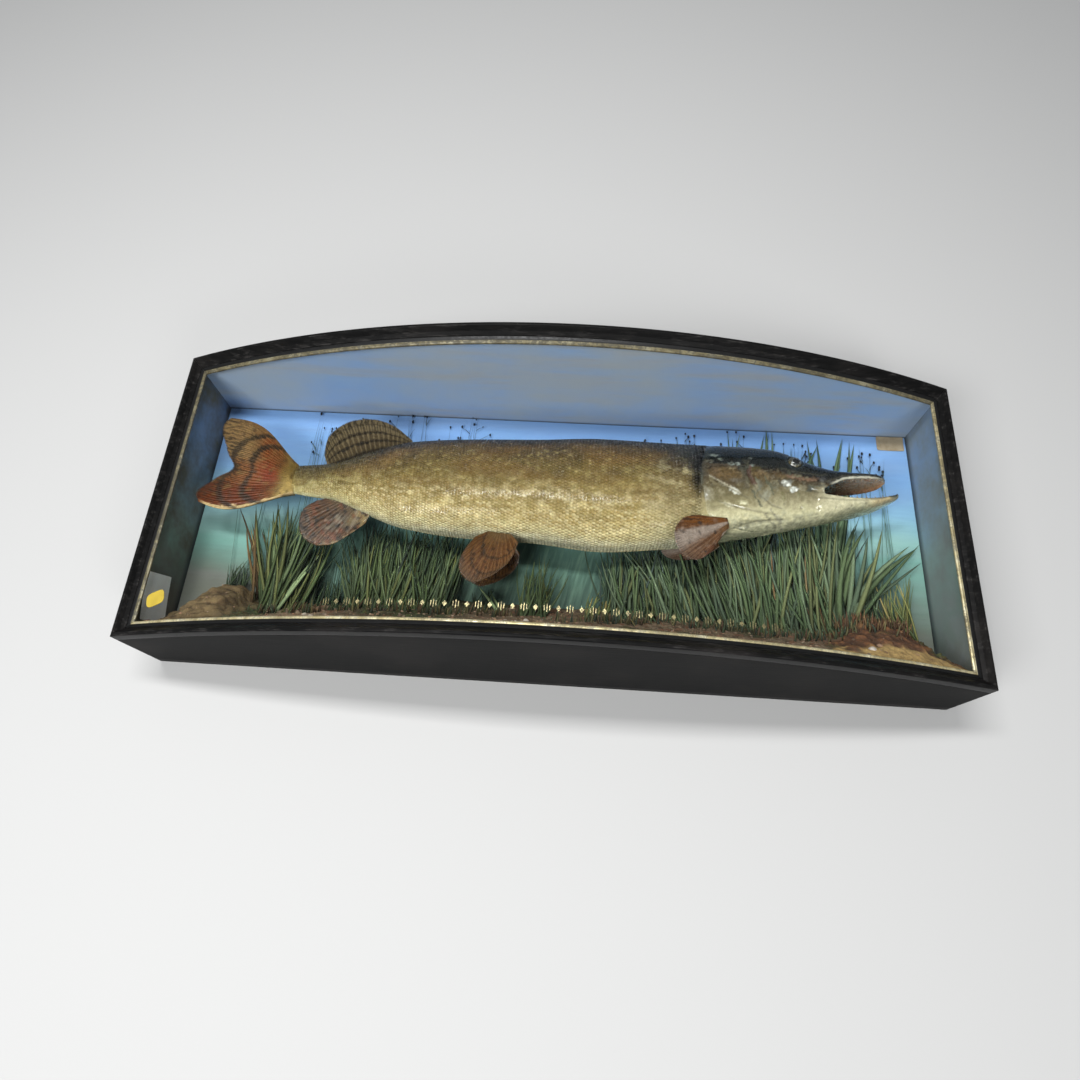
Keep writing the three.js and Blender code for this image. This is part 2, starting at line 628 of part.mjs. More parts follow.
// The paired fins stand off the body, so their points carry their own heights: [x, y, out].
const paired = (side, points) => points.map(([x, y, out]) => [x, y, FISH_PLANE + side * out]);

const PECTORAL_ROOT = [[222, -3, 34], [224, -9, 32.5], [225, -15, 30.5]];
const PECTORAL_TIPS = {
  near: [
    [200, -5, 41], [179, -6, 45], [163, -12, 47], [153, -29, 47], [155, -47, 46], [165, -62, 45],
    [180, -66, 43], [193, -59, 41], [206, -43, 38], [216, -24, 35],
  ],
  far: [
    [200, 0, 43], [180, 3, 47], [162, 0, 49], [150, -8, 49], [148, -19, 48], [156, -28, 47],
    [172, -32, 45], [190, -31, 42], [206, -27, 38], [218, -20, 34],
  ],
};
const PELVIC_ROOT = [[-80, -31, 18], [-66, -33, 19], [-50, -34, 19]];
const PELVIC_TIPS = [
  [-96, -44, 24], [-104, -58, 25], [-108, -72, 26], [-104, -85, 26], [-92, -92, 26], [-78, -90, 25],
  [-63, -83, 24], [-49, -72, 23], [-41, -59, 22], [-40, -44, 21],
];
for (const [name, side] of eyePlaces) {
  addFin(`pectoral_fin_${name}`, {
    root: paired(side, PECTORAL_ROOT),
    tips: paired(side, PECTORAL_TIPS[name]),
    rays: 8,
    steps: 3,
    thickRoot: 2.6,
    thickTip: 1.2,
  }, RUST_FIN);
  addFin(`pelvic_fin_${name}`, {
    root: paired(side, PELVIC_ROOT),
    tips: paired(side, PELVIC_TIPS),
    rays: 8,
    steps: 3,
    thickRoot: 2.6,
    thickTip: 1.2,
  }, RUST_FIN);
}

// ---- two iron stays that hold the fish off the back board ----
for (const [name, x, y] of [['front', 120, 42], ['rear', -150, 40]]) {
  const [back, belly, thick] = station(BODY, x);
  const level = (y - (back + belly) / 2) / ((back - belly) / 2);
  const reach = thick * (1 - Math.abs(level) ** 2.3) ** (1 / 2.3);
  const base = BACK + GAP;
  const length = FISH_PLANE - reach - GAP - base;
  addPiece(`stay_${name}`, new THREE.CylinderGeometry(4, 5, length, 12)
    .rotateX(Math.PI / 2)
    .translate(x, y, base + length / 2), IRON);
}

export default model;
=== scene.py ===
"""A pike set up in a bow-fronted display case, dressed over its CAD frame. All sizes are in metres."""

import math

import bmesh
import bpy
import numpy as np
from mathutils import Matrix, Vector


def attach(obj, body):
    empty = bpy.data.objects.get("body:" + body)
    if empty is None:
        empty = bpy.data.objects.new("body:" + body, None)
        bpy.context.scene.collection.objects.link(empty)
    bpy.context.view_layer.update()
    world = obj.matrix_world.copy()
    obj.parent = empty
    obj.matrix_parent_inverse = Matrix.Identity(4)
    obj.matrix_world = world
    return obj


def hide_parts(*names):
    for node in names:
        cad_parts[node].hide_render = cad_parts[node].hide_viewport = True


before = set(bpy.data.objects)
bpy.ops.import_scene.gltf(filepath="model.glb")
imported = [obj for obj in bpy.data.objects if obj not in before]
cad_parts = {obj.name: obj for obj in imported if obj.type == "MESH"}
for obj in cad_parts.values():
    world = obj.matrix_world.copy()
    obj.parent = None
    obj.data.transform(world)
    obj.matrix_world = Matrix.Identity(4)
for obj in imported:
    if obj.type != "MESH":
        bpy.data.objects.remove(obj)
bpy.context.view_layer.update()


# ---- carcass: back board, top, bottom and two ends ----
# Thin pine boards, nailed and glued. Outside they are stained black and varnished, and inside they
# are painted as a sky over water. The back of the case is bare wood.

CASE_WIDTH = 1.040
CASE_HEIGHT = 0.406
SIDE_DEPTH = 0.125
BOW = 0.105
BOARD = 0.012
BACK = 0.014
BLACK = (0.004, 0.004, 0.004)


def put(socket, value):
    """Gives a socket a plain value, or joins it to another socket."""
    if isinstance(value, bpy.types.NodeSocket):
        socket.id_data.links.new(value, socket)
    elif isinstance(value, tuple) and len(value) == 3 and socket.type == "RGBA":
        socket.default_value = (*value, 1)
    else:
        socket.default_value = value


def add(tree, kind, inputs=(), **settings):
    """Adds a shader node with its settings and inputs, by name or number."""
    made = tree.nodes.new("ShaderNode" + kind)
    for name, value in settings.items():
        setattr(made, name, value)
    for name, value in dict(inputs).items():
        put(made.inputs[name], value)
    return made


def mixed(tree, share, low, high, way="MIX"):
    """Two colours mixed by a share."""
    return add(tree, "Mix", {0: share, 6: low, 7: high}, data_type="RGBA", blend_type=way).outputs[2]


def tinted(tree, colour, tint):
    return mixed(tree, 1, colour, tint, "MULTIPLY")


def faded(tree, value, start, end, low=0, high=1):
    """A value eased from low to high as it goes from start to end."""
    inputs = {"Value": value, "From Min": start, "From Max": end, "To Min": low, "To Max": high}
    return add(tree, "MapRange", inputs, interpolation_type="SMOOTHSTEP").outputs["Result"]


def sums(tree, way, first, second=0):
    return add(tree, "Math", {0: first, 1: second}, operation=way).outputs[0]


def times(tree, first, second):
    return sums(tree, "MULTIPLY", first, second)


def stretched(tree, place, scale):
    return add(tree, "Mapping", {"Vector": place, "Scale": scale}).outputs[0]


def grainy(tree, place, scale, detail=3, rough=0.55, bend=0):
    """Noise from 0 to 1."""
    inputs = {"Vector": place, "Scale": scale, "Detail": detail, "Roughness": rough, "Distortion": bend}
    return add(tree, "TexNoise", inputs).outputs[0]


def banded(tree, value, stops):
    """A colour read from stops of (place, colour)."""
    made = add(tree, "ValToRGB", {"Fac": value})
    ramp = made.color_ramp
    while len(ramp.elements) < len(stops):
        ramp.elements.new(0.5)
    for element, (place, colour) in zip(ramp.elements, stops):
        element.position = place
        element.color = (*colour, 1)
    return made.outputs["Color"]


def parted(tree, vector):
    """The X, Y and Z of a vector."""
    return add(tree, "SeparateXYZ", {0: vector}).outputs


def start_material(name, **inputs):
    """A new material, its tree, its Principled shader with plain values set, and the place on the case."""
    made = bpy.data.materials.new(name)
    made.use_nodes = True
    tree = made.node_tree
    shader = tree.nodes["Principled BSDF"]
    for key, value in inputs.items():
        put(shader.inputs[key.replace("_", " ")], value)
    return made, tree, shader, add(tree, "TexCoord").outputs["Object"]


def dressed(tree, shader, colour, rough, height, strength, depth):
    """Joins a colour, a roughness where one varies, and a bump to the shader."""
    put(shader.inputs["Base Color"], colour)
    if rough is not None:
        put(shader.inputs["Roughness"], rough)
    bump = add(tree, "Bump", {"Height": height, "Strength": strength, "Distance": depth})
    put(shader.inputs["Normal"], bump.outputs["Normal"])


def start_group(name, inputs, outputs):
    """A node group with named sockets: the group, what it is given and its output node."""
    group = bpy.data.node_groups.new(name, "ShaderNodeTree")
    for way, sockets in (("INPUT", inputs), ("OUTPUT", outputs)):
        for label, kind in sockets.items():
            group.interface.new_socket(label, in_out=way, socket_type="NodeSocket" + kind)
    return group, group.nodes.new("NodeGroupInput").outputs, group.nodes.new("NodeGroupOutput")


def use_group(tree, group, **inputs):
    made = tree.nodes.new("ShaderNodeGroup")
    made.node_tree = group
    for key, value in inputs.items():
        put(made.inputs[key], value)
    return made.outputs


def black_stain():
    """Old black stain: brown-black where thin, dusty, and rubbed grey along the arrises."""
    tree, given, out = start_group(
        "black_stain", {"Place": "Vector", "Rubbed": "Float"},
        {"Color": "Color", "Roughness": "Float", "Height": "Float"},
    )
    place = given["Place"]
    grain = grainy(tree, stretched(tree, place, (6, 90, 90)), 3, 5, 0.6)
    cloud = grainy(tree, place, 9, 4)
    dust = faded(tree, grainy(tree, place, 55, 6, 0.7), 0.5, 0.78)
    colour = banded(tree, grain, [(0.3, BLACK), (0.55, (0.006, 0.006, 0.006)), (0.8, (0.01, 0.009, 0.008))])
    colour = mixed(tree, faded(tree, cloud, 0.45, 0.75, 0, 0.5), colour, (0.018, 0.016, 0.015))
    colour = mixed(tree, times(tree, dust, 0.15), colour, (0.03, 0.029, 0.028))
    scuff = faded(tree, grainy(tree, stretched(tree, place, (8, 60, 60)), 3, 6, 0.75), 0.5, 0.66)
    worn = times(tree, given["Rubbed"], scuff)
    put(out.inputs["Color"], mixed(tree, times(tree, worn, 0.45), colour, (0.08, 0.075, 0.072)))
    put(out.inputs["Roughness"], faded(tree, sums(tree, "ADD", dust, worn), 0, 1.2, 0.24, 0.42))
    put(out.inputs["Height"], sums(tree, "SUBTRACT", grain, times(tree, worn, 0.5)))
    return tree


def box_arris():
    """Nearness to an edge of the whole case, from 0 to 1: two of its three faces are close."""
    tree, given, out = start_group("box_arris", {"Place": "Vector"}, {"Near": "Float"})
    across, up, depth = parted(tree, given[0])
    ends = sums(tree, "SUBTRACT", CASE_WIDTH / 2, sums(tree, "ABSOLUTE", across))
    sides = sums(tree, "SUBTRACT", CASE_HEIGHT / 2, sums(tree, "ABSOLUTE", up))
    total = sums(tree, "ADD", sums(tree, "ADD", ends, sides), depth)
    least = sums(tree, "MINIMUM", sums(tree, "MINIMUM", ends, sides), depth)
    most = sums(tree, "MAXIMUM", sums(tree, "MAXIMUM", ends, sides), depth)
    middle = sums(tree, "SUBTRACT", sums(tree, "SUBTRACT", total, least), most)
    put(out.inputs["Near"], faded(tree, middle, 0, 0.0035, 1, 0))
    return tree


def painted_sky():
    """The painted inside: sky over water. Level goes from 0 at the ground to 1 at the top."""
    tree, given, out = start_group(
        "painted_sky", {"Place": "Vector", "Level": "Float", "Cloud": "Float"},
        {"Color": "Color", "Height": "Float"},
    )
    place = given["Place"]
    sway = grainy(tree, stretched(tree, place, (3.2, 9, 9)), 1.6, 3)
    level = sums(tree, "ADD", given["Level"], faded(tree, sway, 0.2, 0.8, -0.07, 0.07))
    colour = banded(tree, level, [
        (0.02, (0.16, 0.165, 0.135)), (0.14, (0.15, 0.23, 0.19)), (0.3, (0.18, 0.35, 0.3)),
        (0.44, (0.27, 0.46, 0.43)), (0.56, (0.245, 0.43, 0.52)), (0.76, (0.22, 0.395, 0.64)),
        (1, (0.2, 0.355, 0.65)),
    ])
    cloud = grainy(tree, stretched(tree, place, (2.2, 16, 16)), 2.2, 5, 0.55, 0.4)
    pale = times(tree, faded(tree, cloud, 0.42, 0.68), given["Cloud"])
    colour = mixed(tree, pale, colour, (0.33, 0.345, 0.385))
    warm = times(tree, faded(tree, cloud, 0.6, 0.78), given["Cloud"])
    colour = mixed(tree, times(tree, warm, 0.6), colour, (0.36, 0.3, 0.27))
    brush = grainy(tree, stretched(tree, place, (14, 160, 160)), 1.8, 5, 0.7)
    strokes = mixed(tree, brush, (0.3, 0.3, 0.3), (0.72, 0.72, 0.72))
    put(out.inputs["Color"], mixed(tree, 0.35, colour, strokes, "OVERLAY"))
    put(out.inputs["Height"], brush)
    return tree


STAIN, ARRIS, SKY = black_stain(), box_arris(), painted_sky()


def stain_at(tree, place):
    return use_group(tree, STAIN, Place=place, Rubbed=use_group(tree, ARRIS, Place=place)["Near"])


def true_normal(tree):
    return parted(tree, add(tree, "NewGeometry").outputs["True Normal"])


def clear_of_joints(tree, painted, part, size):
    """Painted only where it is further in than the boards' thickness, so that no paint shows in a joint."""
    return times(tree, painted, sums(tree, "LESS_THAN", sums(tree, "ABSOLUTE", part), size / 2 - BOARD))


def painted_or_stained(tree, shader, painted, inside, outside, roughness, heights):
    """A board's finish: one inside the case and one outside it."""
    dressed(tree, shader, mixed(tree, painted, outside, inside), faded(tree, painted, 0, 1, *roughness),
            faded(tree, painted, 0, 1, *heights), 0.35, 0.0006)


def board_material(name, axis, inward, cloud, tint, paint_and_light_share):
    """A board that is painted on the face whose normal points inward along an axis, and stained outside.
    Its tint holds painted light and shade as well as paint.
    """
    made, tree, shader, place = start_material(name, Specular_IOR_Level=0.05)
    facing = times(tree, true_normal(tree)[axis], inward)
    painted = sums(tree, "GREATER_THAN", facing, 0.6)
    across, up, depth = parted(tree, place)
    if axis == "Y":
        painted = clear_of_joints(tree, painted, across, CASE_WIDTH)
    sky = use_group(tree, SKY, Place=place, Level=faded(tree, up, -0.19, 0.19), Cloud=cloud)
    blot = grainy(tree, place, 7, 5, 0.65)
    # The paint goes towards the board's tint by its share: partly the board's own paint, partly painted light
    # and shade.
    paint = mixed(tree, faded(tree, blot, 0.3, 0.75, 0.35 * paint_and_light_share, paint_and_light_share), sky["Color"], tint)
    corner = faded(tree, depth, BACK, BACK + (0.016 if axis == "X" else 0.006), 0.85, 0)
    paint = mixed(tree, corner, paint, (0.02, 0.025, 0.03))
    stain = stain_at(tree, place)
    painted_or_stained(tree, shader, painted, paint, stain["Color"], (0.6, 0.72),
                       (stain["Height"], sky["Height"]))
    return made


def back_material():
    """The back board: painted inside, black on its edges, bare aged pine on the back of the case."""
    made, tree, shader, place = start_material("back_board_finish", Specular_IOR_Level=0.1)
    across, up, _ = parted(tree, place)
    facing = true_normal(tree)["Z"]
    sky = use_group(tree, SKY, Place=place, Level=faded(tree, up, -0.13, 0.19), Cloud=0.1)
    ring = grainy(tree, stretched(tree, place, (3, 60, 60)), 2, 6, 0.6, 1.2)
    grains = [(0.25, (0.16, 0.085, 0.04)), (0.5, (0.3, 0.175, 0.085)), (0.75, (0.38, 0.24, 0.125))]
    pine = banded(tree, ring, grains)
    aged = faded(tree, grainy(tree, place, 5, 5), 0.45, 0.7, 0, 0.6)
    pine = mixed(tree, aged, pine, (0.085, 0.06, 0.042))
    outside = mixed(tree, sums(tree, "LESS_THAN", facing, -0.6), stain_at(tree, place)["Color"], pine)
    painted = clear_of_joints(tree, sums(tree, "GREATER_THAN", facing, 0.6), across, CASE_WIDTH)
    painted = clear_of_joints(tree, painted, up, CASE_HEIGHT)
    # Soft leaning strokes of reeds, painted behind the real ones, with a wavering top.
    leaning = sums(tree, "ADD", across, times(tree, up, -0.22))
    strokes = add(tree, "CombineXYZ", {0: leaning, 1: times(tree, up, 0.09), 2: 0.3}).outputs[0]
    stroke = grainy(tree, strokes, 130, 3, 0.6)
    clump = grainy(tree, add(tree, "CombineXYZ", {0: across}).outputs[0], 9, 2)
    top = sums(tree, "ADD", times(tree, clump, 0.11), times(tree, stroke, 0.09))
    under = sums(tree, "SUBTRACT", sums(tree, "SUBTRACT", top, 0.088), up)
    ends = times(tree, faded(tree, across, -0.4, -0.34), faded(tree, across, 0.44, 0.36))
    growth = times(tree, faded(tree, under, -0.012, 0.03), ends)
    greens = [(0.3, (0.028, 0.055, 0.044)), (0.5, (0.06, 0.115, 0.085)), (0.7, (0.13, 0.22, 0.16))]
    scene = mixed(tree, times(tree, growth, 0.85), sky["Color"], banded(tree, stroke, greens))
    painted_or_stained(tree, shader, painted, scene, outside, (0.55, 0.7), (ring, sky["Height"]))
    return made


# Each board's last two numbers are its tint and its share: painted light on the ceiling, and painted shade
# with a warm painted reflection on the left end, over each board's own paint.
for name, finish in {
    "back_board": back_material(),
    "top_board": board_material("ceiling_finish", "Y", -1, 0.85, (0.37, 0.4, 0.42), 0.85),
    "bottom_board": board_material("floor_finish", "Y", 1, 0, (0.1, 0.1, 0.09), 0.9),
    "left_side": board_material("left_end_finish", "X", 1, 0.2, (0.105, 0.098, 0.075), 1.15),
    "right_side": board_material("right_end_finish", "X", -1, 0.3, (0.185, 0.205, 0.2), 1.15),
}.items():
    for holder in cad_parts[name].material_slots:
        holder.material = finish


# ---- bowed front: black moulding, gilt slip and bent glass ----
# The mitred moulding is planted on the front edges of the boards. Inside it a narrow slip of wood,
# gilded with leaf that has dulled, holds the bent glass from the front.

RAIL_WIDTH = 0.013
RAIL_DEPTH = 0.018
RAIL_FALL = 0.0105
BEAD = 0.0045
SLIP_WIDTH = 0.0085
SLIP_FLAT = 0.0039  # how much of the slip, from its inner edge, bears leaf
GLASS = 0.003
GAP = 0.0003
BOW_RADIUS = ((CASE_WIDTH / 2) ** 2 + BOW**2) / (2 * BOW)


def front_z(x):
    """Height of the bowed front over the back of the case."""
    return SIDE_DEPTH + BOW - BOW_RADIUS + np.sqrt(BOW_RADIUS**2 - np.square(x))


def linked(name, data):
    made = bpy.data.objects.new(name, data)
    bpy.context.scene.collection.objects.link(made)
    return made


def make_piece(name, points, faces, material, slot, replaces=(), sharp=None, layers=(), smooth=True):
    """Makes a mesh piece that rides on the case. layers are point attributes: colours or numbers."""
    mesh = bpy.data.meshes.new(name)
    faces = faces.tolist() if isinstance(faces, np.ndarray) else faces
    mesh.from_pydata(np.asarray(points).tolist(), [], faces)
    mesh.materials.append(material)
    for label, values in dict(layers).items():
        values = np.asarray(values, np.float32)
        if values.ndim == 2:
            layer = mesh.color_attributes.new(label, "FLOAT_COLOR", "POINT")
            opaque = np.ones((len(values), 1), np.float32)
            layer.data.foreach_set("color", np.hstack([values, opaque]).ravel())
        else:
            mesh.attributes.new(label, "FLOAT", "POINT").data.foreach_set("value", values)
    mesh.polygons.foreach_set("use_smooth", np.full(len(mesh.polygons), smooth))
    if sharp is not None:
        mesh.set_sharp_from_angle(angle=math.radians(sharp))
    made = linked(name, mesh)
    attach(made, "root")
    if replaces:
        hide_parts(*replaces)
    return made


def face_out(made):
    """Turns the faces of a closed piece so that they all face out."""
    shaper = bmesh.new()
    shaper.from_mesh(made.data)
    bmesh.ops.recalc_face_normals(shaper, faces=shaper.faces)
    shaper.to_mesh(made.data)
    shaper.free()


def grid_faces(rows, columns, wrap=False, start=0):
    """Quads over a grid of points, joined round its columns if wrap is true."""
    along = np.arange(rows - 1)[:, None] * columns
    across = np.arange(columns if wrap else columns - 1)[None, :]
    following = (across + 1) % columns
    below = along + columns
    quads = np.stack([along + across, along + following, below + following, below + across], -1)
    return quads.reshape(-1, 4) + start


def capped_faces(rows, columns):
    """Faces of a closed skin over rings, with a flat cap on each end."""
    faces = [tuple(quad) for quad in grid_faces(rows, columns, wrap=True).tolist()]
    return faces + [tuple(range(columns))[::-1], tuple(range((rows - 1) * columns, rows * columns))]


def capped_loft(rings):
    """Points and faces of a closed skin over rings, turned so that it faces out."""
    rings = np.asarray(rings)
    rows, columns = rings.shape[:2]
    points = rings.reshape(-1, 3)
    faces = capped_faces(rows, columns)
    a, b, c, d = (points[corner] for corner in np.array(faces[:-2]).T)
    volume = np.einsum("ij,ij->", a, np.cross(b, c)) + np.einsum("ij,ij->", a, np.cross(c, d))
    return points, faces if volume > 0 else [face[::-1] for face in faces]


def rounded(profile, radius=0.0006, steps=3):
    """Breaks the corners of a profile of [inward, lift], and says how near each new point is to one."""
    profile = np.asarray(profile, float)
    points, rubbed = [], []
    for i, here in enumerate(profile):
        before, after = profile[i - 1] - here, profile[(i + 1) % len(profile)] - here
        reach = min(radius, np.linalg.norm(before) / 2.5, np.linalg.norm(after) / 2.5)
        start = here + before / np.linalg.norm(before) * reach
        end = here + after / np.linalg.norm(after) * reach
        proud = before @ (0, -1) > 0 or after @ (0, -1) > 0
        for k in range(steps + 1):
            t = k / steps
            points.append((1 - t) ** 2 * start + 2 * t * (1 - t) * here + t * t * end)
            rubbed.append(float(proud) * (1 if 0 < k < steps else 0.35))
    return np.array(points), np.array(rubbed)


def frame_length(profile, side, along_x):
    """One mitred length of the frame, following the bow."""
    inward, lift = profile.T
    rings = []
    for t in np.linspace(-1, 1, 129 if along_x else 2):
        if along_x:
            x = t * (CASE_WIDTH / 2 - inward - GAP / 2)
            y = side * (CASE_HEIGHT / 2 - inward)
        else:
            x = side * (CASE_WIDTH / 2 - inward)
            y = t * (CASE_HEIGHT / 2 - inward - GAP / 2)
        rings.append(np.stack([x, y, front_z(x) + lift], 1))
    return rings


def attribute(tree, name, output="Color"):
    return add(tree, "Attribute", attribute_name=name).outputs[output]


def moulding_material():
    made, tree, shader, place = start_material("moulding_finish", Specular_IOR_Level=0.04)
    stain = use_group(tree, STAIN, Place=place, Rubbed=attribute(tree, "rubbed", "Fac"))
    sheen = faded(tree, stain["Roughness"], 0.24, 0.42, 0.38, 0.56)
    dressed(tree, shader, stain["Color"], sheen, stain["Height"], 0.12, 0.0003)
    return made


def gilt_material():
    """Dull leaf over red-brown bole: dark flecks where it has gone, bright spots where it is unbroken.
    How much leaf shows comes from the mesh, and holds painted light and shade as well.
    """
    made, tree, shader, place = start_material("gilt_finish", Specular_IOR_Level=0.2)
    patch = grainy(tree, place, 60, 6, 0.7)
    fleck = grainy(tree, place, 240, 5, 0.75)
    long_patch = grainy(tree, place, 11, 4)
    golds = [(0.3, (0.3, 0.245, 0.12)), (0.48, (0.62, 0.54, 0.3)), (0.62, (0.88, 0.82, 0.56))]
    colour = banded(tree, patch, golds)
    lost = faded(tree, sums(tree, "ADD", fleck, times(tree, long_patch, 0.35)), 0.6, 0.72)
    colour = mixed(tree, times(tree, lost, 0.7), colour, (0.06, 0.05, 0.034))
    leaf = attribute(tree, "leaf", "Fac")
    put(shader.inputs["Metallic"], times(tree, faded(tree, lost, 0, 1, 0.55, 0), leaf))
    colour = mixed(tree, leaf, (0.007, 0.007, 0.007), colour)
    dressed(tree, shader, colour, faded(tree, fleck, 0.3, 0.7, 0.28, 0.55), patch, 0.4, 0.0004)
    return made


def glass_material():
    """Old clear glass. Shadow rays pass it, so that it lights the inside as a thin pane does."""
    made, tree, shader, _ = start_material(
        "bent_glass_finish", Base_Color=(0.975, 0.985, 0.98), Roughness=0, IOR=1.14, Specular_IOR_Level=0.08,
        Metallic=0, Transmission_Weight=1
    )
    clear = add(tree, "BsdfTransparent", {"Color": (0.93, 0.95, 0.95)})
    light = add(tree, "LightPath").outputs
    passes = sums(tree, "MAXIMUM", light["Is Shadow Ray"], light["Is Diffuse Ray"])
    either = add(tree, "MixShader", {0: passes, 1: shader.outputs["BSDF"], 2: clear.outputs["BSDF"]})
    put(tree.nodes["Material Output"].inputs["Surface"], either.outputs[0])
    return made


RAIL_PROFILE = [  # how far in from the outside of the case, and how far over the bow
    (0, -RAIL_DEPTH), (0, -0.0014), (0.0014, 0), (BEAD, -0.0004), (BEAD + 0.004, 0.0035 - RAIL_FALL),
    (RAIL_WIDTH - 0.001, -RAIL_FALL), (RAIL_WIDTH, -RAIL_FALL - 0.001), (RAIL_WIDTH, -RAIL_DEPTH),
]
SLIP_IN = RAIL_WIDTH + GAP
SLIP_OUT = SLIP_IN + SLIP_WIDTH
SLIP_PROFILE = [
    (SLIP_IN, -RAIL_DEPTH), (SLIP_IN, -RAIL_FALL - 0.001), (SLIP_OUT - 0.0042, -RAIL_FALL - 0.0026),
    (SLIP_OUT - 0.0036, -RAIL_FALL - 0.0034), (SLIP_OUT - 0.002, -RAIL_FALL - 0.0034),
    (SLIP_OUT, -RAIL_FALL - 0.005), (SLIP_OUT, -RAIL_DEPTH),
]
for kind, outline, finish, slot in (
    ("frame", RAIL_PROFILE, moulding_material(), "ebonised_wood"),
    ("gilt_slip", SLIP_PROFILE, gilt_material(), "gilt"),
):
    profile, rubbed = rounded(outline)
    # The leaf is unbroken along the foot, thin at the right and nearly gone elsewhere: partly wear,
    # and partly painted light on the foot and painted shade on the top and the left.
    for label, side, along_x, leaf_and_painted_light in (
        ("top", 1, True, 0.25), ("bottom", -1, True, 1), ("left", -1, False, 0.25), ("right", 1, False, 0.55)
    ):
        rings = frame_length(profile, side, along_x)
        leaf = np.where(profile[:, 0] > SLIP_OUT - SLIP_FLAT, leaf_and_painted_light, 0)
        make_piece(
            f"{kind}_{label}_finished", *capped_loft(rings), finish, slot, [f"{kind}_{label}"],
            sharp=25, layers={"rubbed": np.tile(rubbed, len(rings)), "leaf": np.tile(leaf, len(rings))},
        )

GLASS_TOP = -RAIL_DEPTH - GAP
GLASS_BACK = GLASS_TOP - GLASS
half_x, half_y = (size / 2 - BOARD - GAP for size in (CASE_WIDTH, CASE_HEIGHT))
corners = ((-half_y, GLASS_BACK), (half_y, GLASS_BACK), (half_y, GLASS_TOP), (-half_y, GLASS_TOP))
sheet = [[(x, y, front_z(x) + lift) for y, lift in corners] for x in np.linspace(-half_x, half_x, 145)]
make_piece("bent_glass", *capped_loft(sheet), glass_material(), "clear_glass", ["glass_pane"], sharp=40)


# ---- the pike's skin: trunk, gill covers, head and jaws ----
# The cleaned skin of the fish over a carved and plastered core, painted where it had faded and then
# varnished. It is one skin from the root of the tail to the lips.

MM = 0.001
FISH_PLANE = 85  # height of the fish's middle plane over the back of the case, in millimetres
TAIL_ROOT_X = -352
JAW_ROOT_X = 345
COAT = 0.5  # how far the skin lies inside the outline, for the scales
BODY = np.array([  # x, height of the back and the belly, half thickness, squareness of the back and the belly
    [-352, 60, 17, 6.5, 2, 2],
    [-330, 62, 14, 11, 2, 2],
    [-300, 66, 11, 16, 2, 2],
    [-258, 83, -4, 24, 2.1, 2.1],
    [-197, 102, -24, 34, 2.2, 2.2],
    [-121, 108, -32, 42, 2.3, 2.3],
    [-24, 112, -34, 46, 2.3, 2.3],
    [61, 117, -41, 49, 2.3, 2.3],
    [136, 115, -34, 49, 2.3, 2.3],
    [187, 114, -27, 48, 2.3, 2.3],
    [238, 113, -16, 45, 2.5, 2.2],
    [278, 111, -7, 40, 2.8, 2.1],
    [304, 105, -1, 37, 3, 2],
    [325, 96, 5, 35, 3, 2],
    [345, 89, 10, 32.5, 2.8, 2],
])
# The gill cover's free edge: the turn from the back to the belly, and x.
GILL_EDGE = np.array([[0, 206], [0.12, 196], [0.25, 186], [0.33, 188], [0.4, 206], [0.45, 240], [0.5, 276]])


def hermite(t, start, leaving, end, arriving):
    """A cubic from start to end, with its slope at each end, for t from 0 to 1."""
    t2, t3 = t * t, t**3
    return (
        (2 * t3 - 3 * t2 + 1) * start + (t3 - 2 * t2 + t) * leaving
        + (3 * t2 - 2 * t3) * end + (t3 - t2) * arriving
    )


def station(table, x):
    """Reads a table of stations with a smooth curve through its rows, for an array of x."""
    x = np.atleast_1d(np.asarray(x, float))
    at = np.clip(x, table[0, 0], table[-1, 0])
    i = np.clip(np.searchsorted(table[:, 0], at, side="left") - 1, 0, len(table) - 2)
    before, here = table[np.maximum(i - 1, 0)], table[i]
    following, after = table[i + 1], table[np.minimum(i + 2, len(table) - 1)]
    span = following[:, :1] - here[:, :1]
    rise = following[:, 1:] - here[:, 1:]

    def slope(start, end):
        width = end[:, :1] - start[:, :1]
        side = np.where(width == 0, rise, (end[:, 1:] - start[:, 1:]) / np.where(width == 0, 1, width) * span)
        product = side * rise
        return np.where(product > 0, 2 * product / np.where(product > 0, side + rise, 1), 0)

    t = (at[:, None] - here[:, :1]) / span
    return hermite(t, here[:, 1:], slope(before, here), following[:, 1:], slope(following, after))


def eased(value, start, end):
    """A smooth step from 0 at start to 1 at end. Start may be the greater of the two."""
    t = np.clip((np.asarray(value, float) - start) / (end - start), 0, 1)
    return t * t * (3 - 2 * t)


def between(value, rise, full, fall, gone):
    """1 from full to fall, easing in from rise and out to gone."""
    return eased(value, rise, full) * eased(value, gone, fall)


def bell(value, width):
    return np.exp(-((value / width) ** 2))


def unit(vectors):
    return vectors / np.linalg.norm(vectors, axis=-1, keepdims=True)


def listed(faces):
    return [tuple(face) for face in faces.tolist()]


def fan(hub, first, count):
    """Triangles from a hub to a ring of points."""
    return [(hub, first + k, first + (k + 1) % count) for k in range(count)]


def level_of(turn):
    """A turn as a share of the way from the back, 0, to the belly, 1, on either side."""
    return np.where(turn > 0.5, 1 - turn, turn) * 2


